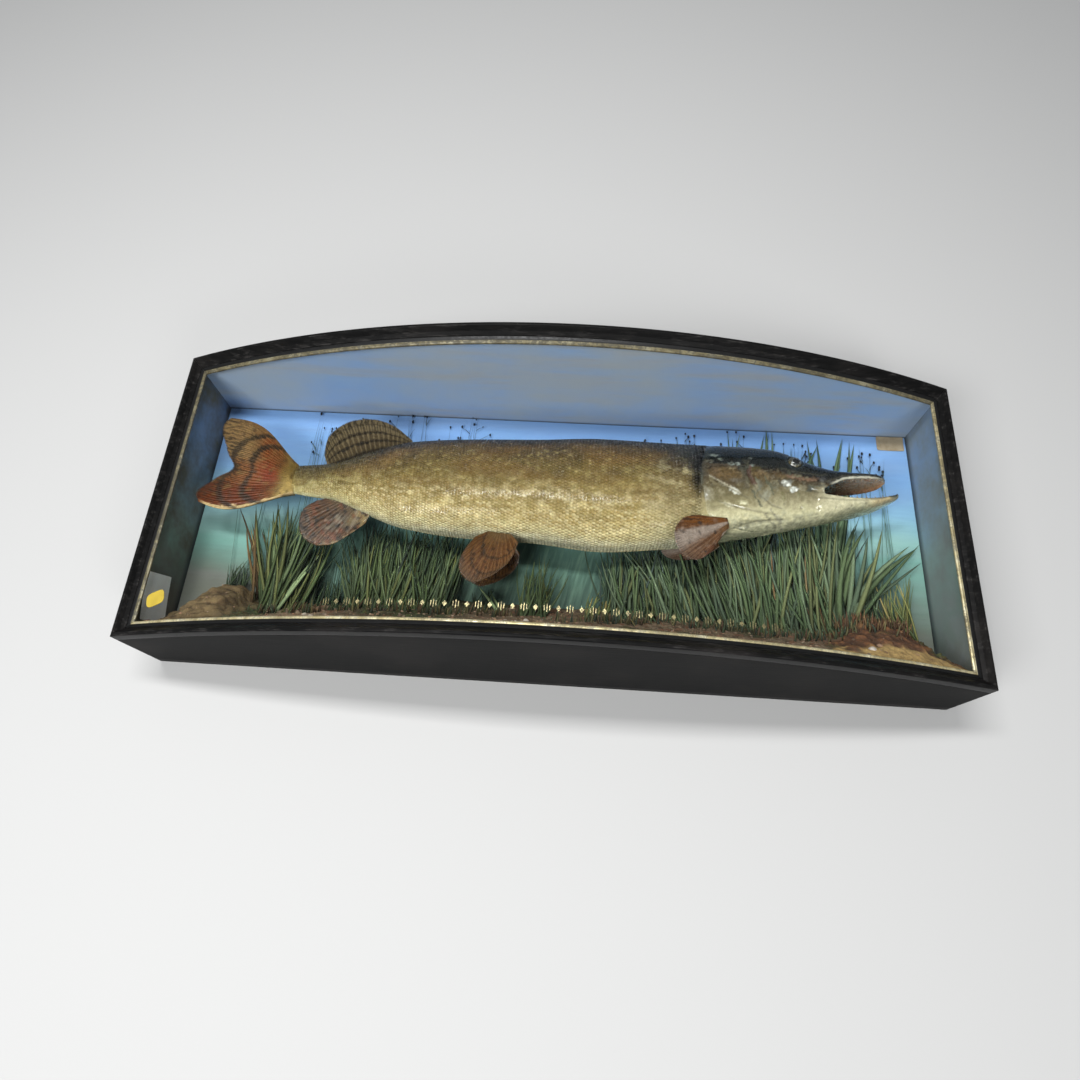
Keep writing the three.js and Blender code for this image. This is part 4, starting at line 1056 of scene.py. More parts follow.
def head_tone(points, normals):
    """The colours of the head and jaws, inside and out."""
    x, y, z = points.T
    flat = points[:, :2]
    big, mid, fine = waves(31, 40, 30, 70)(points), waves(32, 48, 8, 20)(points), waves(33, 60, 3, 6)(points)
    tone, height, base, dark_line = head_ground(points, 0.03 * mid + 0.014 * fine)
    cover = between(height, 0.18, 0.3, 0.64, 0.72) * eased(x, 268, 240)
    marbled = between(height, 0.3, 0.45, 0.66, 0.76)
    tone = laid(
        tone * (1 - cover[:, None] * (0.22, 0.24, 0.32)),
        (0.55 * marbled * eased(mid + 0.6 * fine, 0.3, 1.4), (0.11, 0.105, 0.07)),
        (0.45 * marbled * eased(-mid + 0.5 * fine, 0.4, 1.5), (0.3, 0.27, 0.18)),
    )
    bent = flat + np.stack([1.3 * mid, 1.1 * fine], 1)
    broken = 0.45 + 0.55 * eased(fine + 0.4 * mid, -0.7, 0.5)
    for *oval, colour, strength in SPOTS:
        dim = 0.5 if colour[0] < 0.6 and oval[1] < 68 else 1
        tone = laid(tone, (strength * spot(bent, *oval) * broken, np.array(colour) * dim))
    for line, wide, colour, strength in STROKES:
        tone = laid(tone, (strength * eased(line_distance(bent, line)[0], wide * 1.4, wide * 0.5), colour))
    cream = eased(x, 330, 360) * eased(y, 52, 46)
    low_rim, high_rim = station(LOWER_JAW, x)[:, 2], station(UPPER_JAW, x)[:, 2]
    gum = eased(x, 385, 412) * (y < 62) * eased(y - low_rim, -3.5, -1.2)
    snout = (x > JAW_ROOT_X - 8) & (y > 55)
    above = y - high_rim
    lip = eased(x, 352, 366) * eased(above + 0.8 * fine, 4.2, 2.2) * (y > 55) * (above > -1)
    inside = eased(mouth_share(points, normals), 0.45, 0.9)
    palate = laid(
        graded(x, PALATE) * (1.15, 1, 0.8) * (1 + 0.12 * mid + 0.08 * fine)[:, None],
        (0.6 * spot(points[:, [0, 2]], 414, FISH_PLANE + 9, 5, 4), (0.32, 0.085, 0.045)),
        (0.5 * (normals[:, 1] > 0), (0.3, 0.22, 0.15)),
    )
    tone = laid(
        tone,
        (0.75 * cream * eased(y - base, 3, 9), (0.56, 0.51, 0.345)),
        (0.7 * eased(x, 398, 425) * cream, (0.56, 0.405, 0.215)),
        (0.55 * cream * eased(y - base, 6, 0), (0.27, 0.26, 0.165)),
        (0.8 * gum, (0.085, 0.095, 0.07)),
        (0.95 * spot(flat, 443, 56, 10, 6.5, 25), (0.03, 0.036, 0.032)),
        (0.75 * snout * eased(mid, -0.2, 1.2) * eased(y - dark_line, 9, 2), (0.04, 0.038, 0.038)),
        (0.85 * lip * (1 - 0.6 * eased(x, 412, 432)), (0.48, 0.455, 0.37)),
        (inside, palate),
    )
    for pore in PORES:
        tone = laid(tone, (0.7 * dot(flat, pore, 1.3), (0.14, 0.13, 0.09)))
    # Painted shade in the creases: the colour darkens along the grooves of the bones and folds.
    folds = np.zeros(len(points))
    for line in (PREOPERCLE, SUTURE, SUBOPERCLE, MAXILLA, SUBORBITAL, JAW_GROOVE, *FOLDS):
        folds = np.maximum(folds, crease(flat, line, 1.2))
    socket = eased(np.hypot((x - EYE[0]) / 1.12, y - EYE[1]), 13, 9.5) * (np.abs(z - FISH_PLANE) > 15)
    tone = laid(
        tone,
        (0.45 * folds * (1 - mouth_share(points, normals)), (0.075, 0.068, 0.045)),
        (0.8 * socket, (0.02, 0.026, 0.028)),
    )
    # Painted shade along the free rim of the gill cover.
    tone = tone * (1 - 0.45 * gill_rim(points))[:, None]
    return np.clip(tone * (1 + 0.05 * mid + 0.06 * fine + 0.03 * big)[:, None], 0.004, 0.95)


def tone_between(tree, share, low, high):
    """The painted tone that the mesh carries, between two tints of it."""
    tone = attribute(tree, "tone")
    return mixed(tree, share, tinted(tree, tone, low), tinted(tree, tone, high))


def skin_material():
    """Varnished skin. The painted tone is broken up at the size of the pores, and the coat is varnish."""
    made, tree, shader, place = start_material(
        "pike_skin_finish", Specular_IOR_Level=0.2, Coat_Weight=1, Coat_Roughness=0.11, Coat_IOR=1.5
    )
    speck = grainy(tree, place, 900, 3, 0.6)
    mottle = grainy(tree, place, 210, 4, 0.6)
    colour = tone_between(tree, faded(tree, mottle, 0.3, 0.7), (0.84, 0.83, 0.8), (1.14, 1.13, 1.11))
    pore = tinted(tree, attribute(tree, "tone"), (0.55, 0.52, 0.48))
    colour = mixed(tree, faded(tree, speck, 0.6, 0.74, 0, 0.2), colour, pore)
    height = sums(tree, "ADD", mottle, times(tree, speck, 0.5))
    dressed(tree, shader, colour, faded(tree, mottle, 0.3, 0.7, 0.2, 0.34), height, 0.14, 0.0004)
    return made


def gill_shade(x, turn):
    """Painted shade behind the gill cover: the trunk darkens right behind it, most of all in its upper half.
    """
    level = level_of(turn)
    deep = 0.92 - 0.84 * eased(level, 0.48, 0.64)
    return 1 - deep * eased(gill_edge(turn) - x, 5 + 12 * eased(level, 0.7, 0.42), 0)


def read_vectors(source, kind):
    values = np.empty(len(source) * 3, np.float32)
    source.foreach_get(kind, values)
    return values.reshape(-1, 3).astype(float)


SKIN = skin_material()
trunk_x, trunk_turn, trunk_lift = trunk_grid()
rows, columns = trunk_x.shape
trunk = body_points(trunk_x, trunk_turn, trunk_lift).reshape(-1, 3)
# The trunk's painted colours, with the painted shade behind the gill cover.
trunk_colours = trunk_tone(trunk, trunk_turn.ravel()) * gill_shade(trunk_x, trunk_turn).reshape(-1, 1)
mesh = head_mesh()
head, normals = read_vectors(mesh.vertices, "co") / MM, read_vectors(mesh.vertex_normals, "vector")
head_faces = [tuple(polygon.vertices) for polygon in mesh.polygons]
bpy.data.meshes.remove(mesh)
head_colours = head_tone(head, normals)
head = head + normals * head_form(head, normals)[:, None]
count = len(trunk)
hubs = np.stack([trunk[:columns].mean(0), trunk[-columns:].mean(0)])
faces = listed(grid_faces(rows, columns, wrap=True)) + [face[::-1] for face in fan(count, 0, columns)]
faces += fan(count + 1, (rows - 1) * columns, columns)
faces += [tuple(v + count + 2 for v in face) for face in head_faces]
make_piece(
    "pike_skin", np.vstack([trunk, hubs, head]) * MM, faces, SKIN, "fish_skin",
    ["trunk_front", "trunk_rear", "tail_stem", "head", "upper_jaw", "lower_jaw"],
    layers={"tone": np.vstack([trunk_colours, np.full((2, 3), 0.05), head_colours])},
)


# ---- scales ----
# Small round-ended scales in staggered rows over the whole trunk, each let into the skin at its
# front edge and free at the back. They carry the skin's own colours, with painted shade towards
# each root, on the underside and behind the gill cover.

SCALE_OUTLINE = np.array([  # along towards the tail, across: in shares of a scale's length and width
    (0, -0.3), (0.38, -0.52), (0.76, -0.38), (1, 0), (0.76, 0.38), (0.38, 0.52), (0, 0.3),
])
SCALE_RISE = np.array([-0.46, -0.14, 0.05, 0.15, 0.05, -0.14, -0.46])
SCALE_HUBS = ((0.34, 1.04), (-0.25, 0.8))  # rise and tint of the middle of the top and of the underside
SCALE_COUNTS = ((96, 330), (84, 270), (72, 215), (60, 165), (50, 0))  # scales in a ring over a least girth
EVEN_PITCH = 4.3
PATCH_SIZE = 0.0026  # of a scale's own part of the map


def scale_places():
    """Where each scale is rooted: x, turn, pitch along and pitch across, in millimetres."""
    draw = np.random.default_rng(41)
    places = []
    x = TAIL_ROOT_X + 1.5
    while x < 214:
        turns, far = girth_steps(x, 361)
        girth = far[-1]
        count = next(number for number, least in SCALE_COUNTS if girth > least)
        across = girth / count
        along = EVEN_PITCH * (across / EVEN_PITCH) ** 0.6
        at = (np.arange(count) + 0.5 * (len(places) % 2)) / count * girth + draw.normal(0, 0.12, count)
        turn = np.interp(at % girth, far, turns)
        here = x + draw.normal(0, 0.16, count)
        keep = here < gill_edge(turn) + 4
        places.append(np.stack([here, turn, np.full(count, along), np.full(count, across)], 1)[keep])
        x += along
    return np.vstack(places)


places = scale_places()
draw = np.random.default_rng(42)
count = len(places)
x, turn, along, across = places.T
small = 1e-3
base = body_points(x, turn)
forth = unit(body_points(x - 1, turn) - base)
round_way = body_points(x, turn + small) - body_points(x, turn - small)
turn_per_mm = 2 * small / np.linalg.norm(round_way, axis=1)
out = unit(np.cross(unit(round_way), forth))
middle = station(BODY, x)[:, :2].mean(1)
centre = np.stack([np.zeros(count), middle, np.full(count, FISH_PLANE)], 1)
out *= np.sign(((base - centre) * out * (0, 1, 1)).sum(1))[:, None]
long, wide = along * 1.62, across * 1.32
swing = draw.normal(0, 0.05, count)
lift = (0.75 + 0.25 * across / EVEN_PITCH)[:, None]
points, shade = [], []
# Painted light and shade on each scale: darker at its root, lighter towards its free edge, a little lighter
# in the middle of its top, and darker on its underside.
for (a, b), rise in zip(SCALE_OUTLINE, SCALE_RISE):
    sideways = b * wide + swing * a * long
    points.append(body_points(x - a * long, turn + sideways * turn_per_mm, -COAT) + out * rise * lift)
    shade.append(np.full(count, 0.92 + 0.1 * a))
for rise, tint in SCALE_HUBS:
    points.append(body_points(x - 0.52 * long, turn, -COAT) + out * rise * lift)
    shade.append(np.full(count, tint))
sides = len(SCALE_OUTLINE)
scale = np.array(
    [(k, (k + 1) % sides, sides) for k in range(sides)]
    + [((k + 1) % sides, k, sides + 1) for k in range(sides)]
)
flat = np.stack(points, 1).reshape(-1, 3)
faces = (scale[None] + (np.arange(count) * (sides + 2))[:, None, None]).reshape(-1, 3)
a, b, c = (flat[faces[:sides, i]] for i in range(3))
if (np.cross(b - a, c - a) @ out[0]).sum() < 0:
    faces = faces[:, ::-1]
# Each scale's own random tint, times the painted shade behind the gill cover.
scale_tint_and_gill_shade = np.repeat(draw.normal(1, 0.022, count) * gill_shade(x, turn), sides + 2)
tone = trunk_tone(flat, np.repeat(turn, sides + 2)) * (np.stack(shade, 1).ravel() * scale_tint_and_gill_shade)[:, None]
tone = np.clip(tone, 0.004, 0.95)
made = make_piece("pike_scales", flat * MM, faces, SKIN, "fish_skin", layers={"tone": tone})

# Every scale has its own small patch of the map, laid out as the scales lie on the fish.
patch = np.vstack([SCALE_OUTLINE - (0.5, 0), [(0.02, 0), (0.02, 0)]]) * PATCH_SIZE
root = np.stack([(x - TAIL_ROOT_X) / 620 + 0.02, turn * 0.96 + 0.02], 1)
spread = (root[:, None, :] + patch[None]).reshape(-1, 2)
loops = np.empty(len(made.data.loops), np.int32)
made.data.loops.foreach_get("vertex_index", loops)
made.data.uv_layers.new(name="OFBake").uv.foreach_set("vector", spread[loops].astype(np.float32).ravel())


# ---- eyes ----
# Blown glass eyes, painted behind, set in the sockets: a dark pupil drawn out towards the snout and
# a broken pale ring round it.

def spun(count):
    """Evenly spaced angles round a circle."""
    return np.arange(count) / count * 2 * np.pi


eye_glass, tree, shader, _ = start_material(
    "glass_eye", Roughness=0.12, Coat_Weight=1, Coat_Roughness=0.02, Coat_IOR=1.5
)
put(shader.inputs["Base Color"], attribute(tree, "tone"))
rings, around = 48, 96
polar = np.linspace(0, np.pi, rings + 2)[1:-1][:, None]
angle = spun(around)[None]
wide = np.sin(polar)
sphere = np.stack([wide * np.cos(angle), wide * np.sin(angle), np.cos(polar) + 0 * angle], -1)
sphere = np.vstack([[(0, 0, 1)], sphere.reshape(-1, 3), [(0, 0, -1)]])
bands = np.roll(grid_faces(rings, around, wrap=True, start=1)[:, ::-1], 1, axis=1)
shell = fan(0, 1, around) + listed(bands)
shell += [face[::-1] for face in fan(len(sphere) - 1, 1 + (rings - 1) * around, around)]
for name, side in (("near", 1), ("far", -1)):
    points = sphere * EYE_RADIUS * (1, 1, side) + (EYE[0], EYE[1], FISH_PLANE + side * EYE[2])
    along = sphere[:, 0] * 10
    pupil = np.hypot((along - 0.5) / 1.12, sphere[:, 1] * 9) - 0.5 * eased(along, 1, 4)
    noise = waves(51, 30, 1.2, 4)(points)
    tone = laid(
        np.full((len(points), 3), 0.006),
        (eased(pupil, 3.2, 5), (0.04, 0.034, 0.02)),
        (0.7 * between(pupil, 3.3, 3.9, 5.2, 6.6) * eased(noise, -0.2, 0.9), (0.2, 0.22, 0.22)),
        (0.5 * eased(pupil, 5.5, 7) * eased(noise, 0.2, 1.2), (0.2, 0.15, 0.05)),
        (eased(pupil, 7.4, 8.8), (0.012, 0.013, 0.012)),
    )
    faces = shell if side > 0 else [face[::-1] for face in shell]
    make_piece(
        f"pike_eye_{name}", points * MM, faces, eye_glass, "glass_eye", [f"eye_{name}"], layers={"tone": tone}
    )


# ---- teeth ----
# Long hooked teeth along the lower jaw, small ones on the upper lip, and bands of fine teeth on the
# palate that point down the throat. They grow from the jaws.

# The larger teeth of each side: x and length.
UPPER_TEETH = [(376, 2.4), (388, 2.8), (400, 3), (411, 3.2), (421, 3), (430, 2.6)]
LOWER_TEETH = [(366, 3.6), (379, 4.4), (392, 4.8), (405, 4.4), (417, 3.6), (428, 3), (438, 2.4)]


def tooth(root, way, length, radius, hook, sides=7, steps=5):
    """A hooked cone: points and faces. way is where it points, and it bends by hook at the tip."""
    root, way, hook = (np.asarray(value, float) for value in (root, way, hook))
    across = unit(np.cross(way, (0.3, 0.2, 0.9)))
    angle = spun(sides)[:, None]
    disc = np.cos(angle) * across + np.sin(angle) * np.cross(way, across)
    points = [
        root + way * (length * (s * 1.15 - 0.15)) + hook * s * s + disc * radius * (1 - s) ** 0.7
        for s in np.arange(steps) / steps
    ]
    faces = listed(grid_faces(steps, sides, wrap=True)) + fan(steps * sides, (steps - 1) * sides, sides)
    return np.vstack(points + [[root + way * length + hook]]), faces + [tuple(range(sides))[::-1]]


def joined(parts):
    """Several lists of points and faces as one."""
    points, faces, start = [], [], 0
    for some, shape in parts:
        points.append(some)
        faces += [tuple(v + start for v in face) for face in shape]
        start += len(some)
    return np.vstack(points), faces


draw = np.random.default_rng(61)
parts = []
for side in (1, -1):
    for table, teeth, way in ((UPPER_JAW, UPPER_TEETH, -1), (LOWER_JAW, LOWER_TEETH, 1)):
        small = [(x + 6 + draw.normal(0, 0.8), height * 0.45) for x, height in teeth]
        for x, height in teeth + small:
            wide, outer, rim = station(table, x)[0, :3]
            root = (x, rim - way * 0.6, FISH_PLANE + side * (wide - min(LIP, wide * 0.3) * 0.75))
            lean = unit(np.array([-0.22, way, -0.12 * side]))
            parts.append(tooth(root, lean, height, 0.3 * height**0.7, (-0.6, 0, -0.2 * side)))
    for x in np.arange(352, 428, 1.7):
        wide, outer, rim, hollow = station(UPPER_JAW, x)[0, :4]
        deep = min(hollow, outer - rim - 3)
        for band in draw.uniform((0.15, 0.4, 0.6), (0.4, 0.6, 0.8)):
            out = side * (wide - min(LIP, wide * 0.3)) * band
            root = (x + draw.normal(0, 1.5), rim + 0.4 + deep * (1 - band**2) ** 0.45, FISH_PLANE + out)
            parts.append(tooth(root, (-0.75, -0.66, 0), 1.7 + 0.5 * draw.random(), 0.34, (-0.3, 0, 0), 5, 3))
points, faces = joined(parts)
bone = start_material(
    "tooth_bone", Base_Color=(0.3, 0.215, 0.125), Roughness=0.45, Coat_Weight=0.1, Coat_Roughness=0.2
)[0]
make_piece("pike_teeth", points * MM, faces, bone, "jaw_skin")


# ---- tongue ----
# A flat tongue of painted plaster with a groove along it, bedded between the lower lips.

rows, around = 40, 40
along = np.linspace(-1, 1, rows + 2)[1:-1, None]
angle = spun(around)
thin = np.sqrt(1 - along * along)
groove = 0.8 * bell(np.cos(angle), 0.28) * (np.sin(angle) > 0)
height = 32 + (3.7 * np.sin(angle) - groove) * thin + 4.3 * along
flat = np.stack([384 + 31 * along + 0 * angle, height, FISH_PLANE + 9.5 * np.cos(angle) * thin], -1)
flat = np.vstack([flat.reshape(-1, 3), [(353, 27.7, FISH_PLANE)], [(415, 36.3, FISH_PLANE)]])
faces = listed(grid_faces(rows, around, wrap=True)) + [face[::-1] for face in fan(rows * around, 0, around)]
faces += fan(rows * around + 1, (rows - 1) * around, around)
tone = np.array([0.26, 0.165, 0.105]) * (1 + 0.14 * waves(62, 30, 2, 6)(flat))[:, None]
make_piece("pike_tongue", flat * MM, faces, SKIN, "jaw_skin", layers={"tone": tone})


# ---- fins ----
# Bony rays that fork towards the edge, with dried web between, painted in bars and varnished. Each
# fin's root is let into the flesh.

DARK_BAR = (0.022, 0.018, 0.014)
FIN_ROWS = 46  # points from root to edge
RAY_POINTS = 12  # points across each ray and its web


def smooth_line(points, count, even=True):
    """A centripetal curve through the points: count places, evenly spaced or by its own measure."""
    points = np.asarray(points, float)
    ends = np.vstack([2 * points[0] - points[1], points, 2 * points[-1] - points[-2]])
    fine = []
    for i in range(1, len(ends) - 2):
        p0, p1, p2, p3 = ends[i - 1:i + 3]
        d0, d1, d2 = (max(np.linalg.norm(b - a), 1e-6) ** 0.5 for a, b in ((p0, p1), (p1, p2), (p2, p3)))
        start = ((p1 - p0) / d0 - (p2 - p0) / (d0 + d1) + (p2 - p1) / d1) * d1
        end = ((p2 - p1) / d1 - (p3 - p1) / (d1 + d2) + (p3 - p2) / d2) * d1
        t = np.linspace(0, 1, 41)[: (41 if i == len(ends) - 3 else 40), None]
        fine.append(hermite(t, p1, start, p2, end))
    fine = np.vstack(fine)
    far = steps_along(fine) if even else np.linspace(0, 1, len(fine))
    at = np.linspace(0, far[-1], count)
    return np.stack([np.interp(at, far, fine[:, k]) for k in range(3)], 1)


FIN, tree, shader, place = start_material(
    "fin_web", Specular_IOR_Level=0.12, Coat_Weight=0.2, Coat_Roughness=0.12, Coat_IOR=1.4
)
grain = grainy(tree, place, 420, 4, 0.65)
dressed(tree, shader, tone_between(tree, faded(tree, grain, 0.3, 0.7), (0.42, 0.41, 0.4), (0.66, 0.65, 0.63)),
        faded(tree, grain, 0.3, 0.7, 0.26, 0.42), grain, 0.4, 0.0004)


def rim_of(rows, columns):
    """The outline of a grid of points, as their numbers in turn."""
    index = np.arange(rows * columns).reshape(rows, columns)
    return np.concatenate([index[0, :], index[1:, -1], index[-1, -2::-1], index[-2:0:-1, 0]])


def make_fin(name, node, slot, roots, tips, rays, thick, paint, seed, bend=None, wave=0.7):
    """One fin. thick is its thickness at the root and the edge, and what its root has more of."""
    draw = np.random.default_rng(seed)
    columns, rows = rays * RAY_POINTS + 1, FIN_ROWS
    share = np.linspace(0, 1, columns)
    root = smooth_line(roots, columns, even=False)
    tip = smooth_line(tips, columns)
    along = np.linspace(0, 1, rows)[None]
    cell = ((share * rays) % 1 - 0.5)[:, None]
    fork, second = 0.25 * eased(along, 0.32, 0.85), 0.12 * eased(along, 0.62, 1)
    branches = [a * fork + b * second for a in (-1, 1) for b in (-1, 1)]
    ridge = np.max([bell(cell - branch, 0.17 - 0.09 * along) for branch in branches], axis=0)
    edge_ray = np.minimum(share, 1 - share) * rays < 0.3
    ridge[edge_ray] = np.maximum(ridge[edge_ray], 0.85)
    ray_number = np.minimum((share * rays).astype(int), rays - 1)
    ragged = 0.012 * draw.random(rays)[ray_number] + 0.035 * (1 - ridge[:, -1]) + 0.008 * draw.random(columns)
    short = ragged * (1 - 0.7 * (np.abs(share - 0.5) > 0.47))
    s = along * (1 - short[:, None] * along**3)
    points = root[:, None] + (tip - root)[:, None] * s[..., None]
    if bend:
        points[..., :2] += np.array([bend(t) for t in share])[:, None] * np.sin(np.pi * s**1.4)[..., None]
    points[..., 2] += wave * np.sin(share[:, None] * 8 + s * 3 + seed) * s**1.5
    joints = 1 - 0.1 * (np.sin(s * 190 + 2.5 * ray_number[:, None]) > 0.75) * (s > 0.25)
    body = thick[0] + (thick[1] - thick[0]) * s**0.7
    half = body / 2 * (0.3 + 0.68 * ridge * joints) + thick[2] * eased(s, 0.16, 0) / 2
    front, back = points.copy(), points.copy()
    front[..., 2] += half
    back[..., 2] -= half
    count, rim = columns * rows, rim_of(columns, rows)
    band = np.stack([rim, np.roll(rim, -1), np.roll(rim, -1) + count, rim + count], 1)
    flat = np.vstack([front.reshape(-1, 3), back.reshape(-1, 3)])
    u = np.broadcast_to(share[:, None], s.shape).ravel()
    tone = np.clip(np.tile(paint(u, s.ravel(), ridge.ravel(), flat[:count]), (2, 1)), 0.004, 0.9)
    sheet = grid_faces(columns, rows)
    a, b, c = flat[sheet[len(sheet) // 2][:3]]
    if np.cross(b - a, c - a)[2] < 0:
        sheet = sheet[:, ::-1]
    faces = np.vstack([sheet, sheet[:, ::-1] + count, band])
    face_out(make_piece(name, flat * MM, faces, FIN, slot, [node], layers={"tone": tone}))


def painted_fin(ground, ray, marks, blots, bars=(), dim=(1, 1, 1)):
    """A way to paint a fin, for shares u across it and s from root to edge: colours of the web from root
    to edge, colour and strength of the rays, marks, blots as (seed, grain, from, colour, strength), and
    dark bars across it as (place, width, tilt, bulge, strength)."""
    def paint(u, s, ridge, points):
        noise = waves(5, 40, 5, 14)(points)
        tone = laid(
            graded(s, ground), (ray[1] * ridge * eased(s, 0.05, 0.2), ray[0]),
            *marks(u + 0.012 * noise, s + 0.012 * noise, ridge),
        )
        for seed, grain, start, colour, strength in blots:
            field = waves(seed, 40, grain, grain * 2.5)(points)
            tone = laid(tone, (strength * eased(field, start, start + 0.7), colour))
        for place, width, tilt, bulge, strength in bars:
            far = np.abs(s - place - tilt * (u - 0.5) - bulge * np.sin(np.pi * u) - 0.016 * noise)
            tone = laid(tone, (strength * (1 - 0.25 * ridge) * eased(far, width, width * 0.4), DARK_BAR))
        return tone * dim * (1 + 0.1 * noise)[:, None]
    return paint


def on_back(places):
    return [[x, station(BODY, x)[0, 0] - 3, FISH_PLANE] for x in places]


def on_belly(places):
    return [[x, station(BODY, x)[0, 1] + 3, FISH_PLANE] for x in places]


def in_plane(places):
    return [(x, y, FISH_PLANE) for x, y in places]


make_fin(
    "dorsal_rays", "dorsal_fin", "olive_fin", on_back((-199, -228, -256, -284, -312)),
    in_plane([(-201, 108), (-226, 128), (-250, 138), (-274, 140), (-296, 134), (-312, 122), (-321, 104),
              (-320, 78)]),
    20, (3.6, 1.1, 0.8), painted_fin(
        [(0, (0.085, 0.062, 0.028)), (0.3, (0.15, 0.112, 0.055)), (0.7, (0.165, 0.13, 0.07)),
         (1, (0.12, 0.098, 0.058))],
        ((0.5, 0.42, 0.25), 0.75),
        lambda u, s, ridge: [
            (0.8 * eased(s, 0.7, 0.9) * eased(np.sin(u * 126), 0, 0.5), (0.03, 0.025, 0.018)),
        ],
        [(72, 5, 0.6, (0.06, 0.05, 0.032), 0.5)],
        [(0.1, 0.06, 0, 0, 0.9), (0.36, 0.05, 0.05, 0, 0.95), (0.6, 0.05, 0.06, 0, 0.95),
         (0.82, 0.035, 0, 0, 0.6)],
        (0.52, 0.47, 0.42),
    ), seed=71,
)
make_fin(
    "anal_rays", "anal_fin", "rust_fin", on_belly((-242, -256, -270, -284, -300)),
    in_plane([(-247, -22), (-264, -38), (-282, -52), (-301, -57), (-319, -53), (-332, -40), (-337, -22),
              (-333, -4), (-318, 8)]),
    17, (3.6, 1.1, 0.8), painted_fin(
        [(0, (0.25, 0.19, 0.1)), (0.25, (0.15, 0.088, 0.052)), (0.6, (0.125, 0.055, 0.024)),
         (1, (0.15, 0.08, 0.038))],
        ((0.34, 0.2, 0.11), 0.55),
        lambda u, s, ridge: [
            (0.65 * between(s, 0.15, 0.28, 0.48, 0.68) * eased(u, 0.64, 0.46), (0.24, 0.225, 0.195)),
            (0.9 * eased(u, 0.14, 0.05), (0.58, 0.45, 0.24)),
            (0.8 * eased(s, 0.62, 0.3) * eased(u, 0.42, 0.22), (0.6, 0.47, 0.24)),
            (0.85 * eased(s, 0.84, 0.96) * eased(u, 0.52, 0.34), (0.58, 0.43, 0.24)),
            (0.75 * eased(s, 0.76, 0.92) * eased(np.sin(u * 107), 0, 0.5) * eased(u, 0.4, 0.55),
             (0.04, 0.022, 0.015)),
        ],
        # The last blots, pale and broken, are painted highlights of the varnish's gloss.
        [(75, 5, 0.15, (0.024, 0.018, 0.015), 0.85), (82, 7, 0.35, (0.33, 0.1, 0.04), 0.6),
         (85, 10, 0.6, (0.6, 0.54, 0.47), 0.5)],
        dim=(0.58, 0.54, 0.46),
    ), seed=73,
)


def tail_bend(t):
    """The tail curls: how far its middle is pushed along and up, from the top ray to the lowest."""
    edge = 15 - 31 * t
    return (edge * 0.5, edge * 0.9) if t < 0.5 else (0, edge)


def tail_marks(u, s, ridge):
    upper = eased(u, 0.5, 0.36)
    return [
        (0.8 * upper * eased(s, 0.44, 0.6), (0.19, 0.125, 0.06)),
        (0.6 * upper * eased(s, 0.55, 0.7) * ridge, (0.34, 0.25, 0.13)),
        (0.75 * bell(u - 0.52, 0.16) * bell(s - 0.42, 0.18), (0.25, 0.05, 0.032)),
        (0.9 * eased(u, 0.62, 0.78) * eased(s, 0.22, 0.4), (0.116, 0.023, 0.003)),
        (0.95 * eased(s + 0.06 * np.sin(u * 9), 0.28, 0.14), (0.25, 0.185, 0.062)),
        (0.9 * eased(s, 0.24, 0.1) * eased(u, 0.35, 0.75), (0.64, 0.52, 0.23)),
        (0.8 * eased(u, 0.06, 0.02) * eased(s, 0.85, 0.7), (0.15, 0.085, 0.035)),
        (0.8 * eased(s, 0.68, 0.9) * eased(np.sin(u * 151), -0.1, 0.5) * (u < 0.93), (0.026, 0.018, 0.013)),
        (0.6 * eased(s, 0.86, 0.99) * eased(u, 0.6, 0.75) * (u < 0.94), (0.045, 0.024, 0.016)),
        # The pale line along the lowest ray is partly its own pale edge and partly a painted highlight.
        (0.9 * eased(u, 0.955, 0.98) * eased(s, 1, 0.9), (0.7, 0.58, 0.36)),
    ]


make_fin(
    "tail_rays", "tail_fin", "rust_fin", in_plane([(TAIL_ROOT_X + 1, y) for y in (59, 38, 17)]),
    in_plane([(-464, 131), (-473, 127), (-476, 117), (-471, 102), (-458, 76), (-444, 52), (-464, 36),
              (-489, 14), (-480, -1)]),
    24, (6.4, 1.3, 5.6), painted_fin(
        [(0, (0.2, 0.145, 0.052)), (0.2, (0.16, 0.075, 0.026)), (0.4, (0.17, 0.048, 0.014)),
         (0.65, (0.17, 0.058, 0.016)), (1, (0.12, 0.045, 0.016))],
        ((0.38, 0.2, 0.09), 0.5), tail_marks,
        [(77, 6, 0.7, (0.045, 0.024, 0.014), 0.6), (83, 9, 0.5, (0.25, 0.19, 0.085), 0.35)],
        [(0.3, 0.055, 0.1, 0.38, 0.95), (0.5, 0.055, 0.18, 0.45, 0.95)],
        (1.12, 1, 0.8),
    ), seed=76, bend=tail_bend, wave=1.2,
)
breast = painted_fin(
    [(0, (0.24, 0.13, 0.055)), (0.3, (0.18, 0.085, 0.038)), (0.7, (0.125, 0.062, 0.034)),
     (1, (0.095, 0.05, 0.03))],
    ((0.34, 0.2, 0.12), 0.55),
    lambda u, s, ridge: [
        (0.85 * eased(u, 0.38, 0.28), (0.22, 0.078, 0.016)),
        (0.8 * eased(u, 0.36, 0.24) * eased(np.sin(u * 88), 0, 0.6) * eased(s, 0.25, 0.7),
         (0.04, 0.022, 0.014)),
        (0.8 * between(u, 0.33, 0.39, 0.46, 0.56), (0.48, 0.39, 0.33)),
        (0.8 * eased(u, 0.6, 0.78) * eased(s, 0.45, 0.75), (0.13, 0.045, 0.02)),
        (0.8 * eased(u, 0.92, 0.97), (0.6, 0.52, 0.42)),
        (0.7 * eased(s, 0.82, 0.94) * (1 - ridge), (0.05, 0.03, 0.022)),
    ],
    [(79, 8, 0.85, (0.04, 0.032, 0.03), 0.85), (84, 5, 0.6, (0.3, 0.215, 0.16), 0.35)],
)
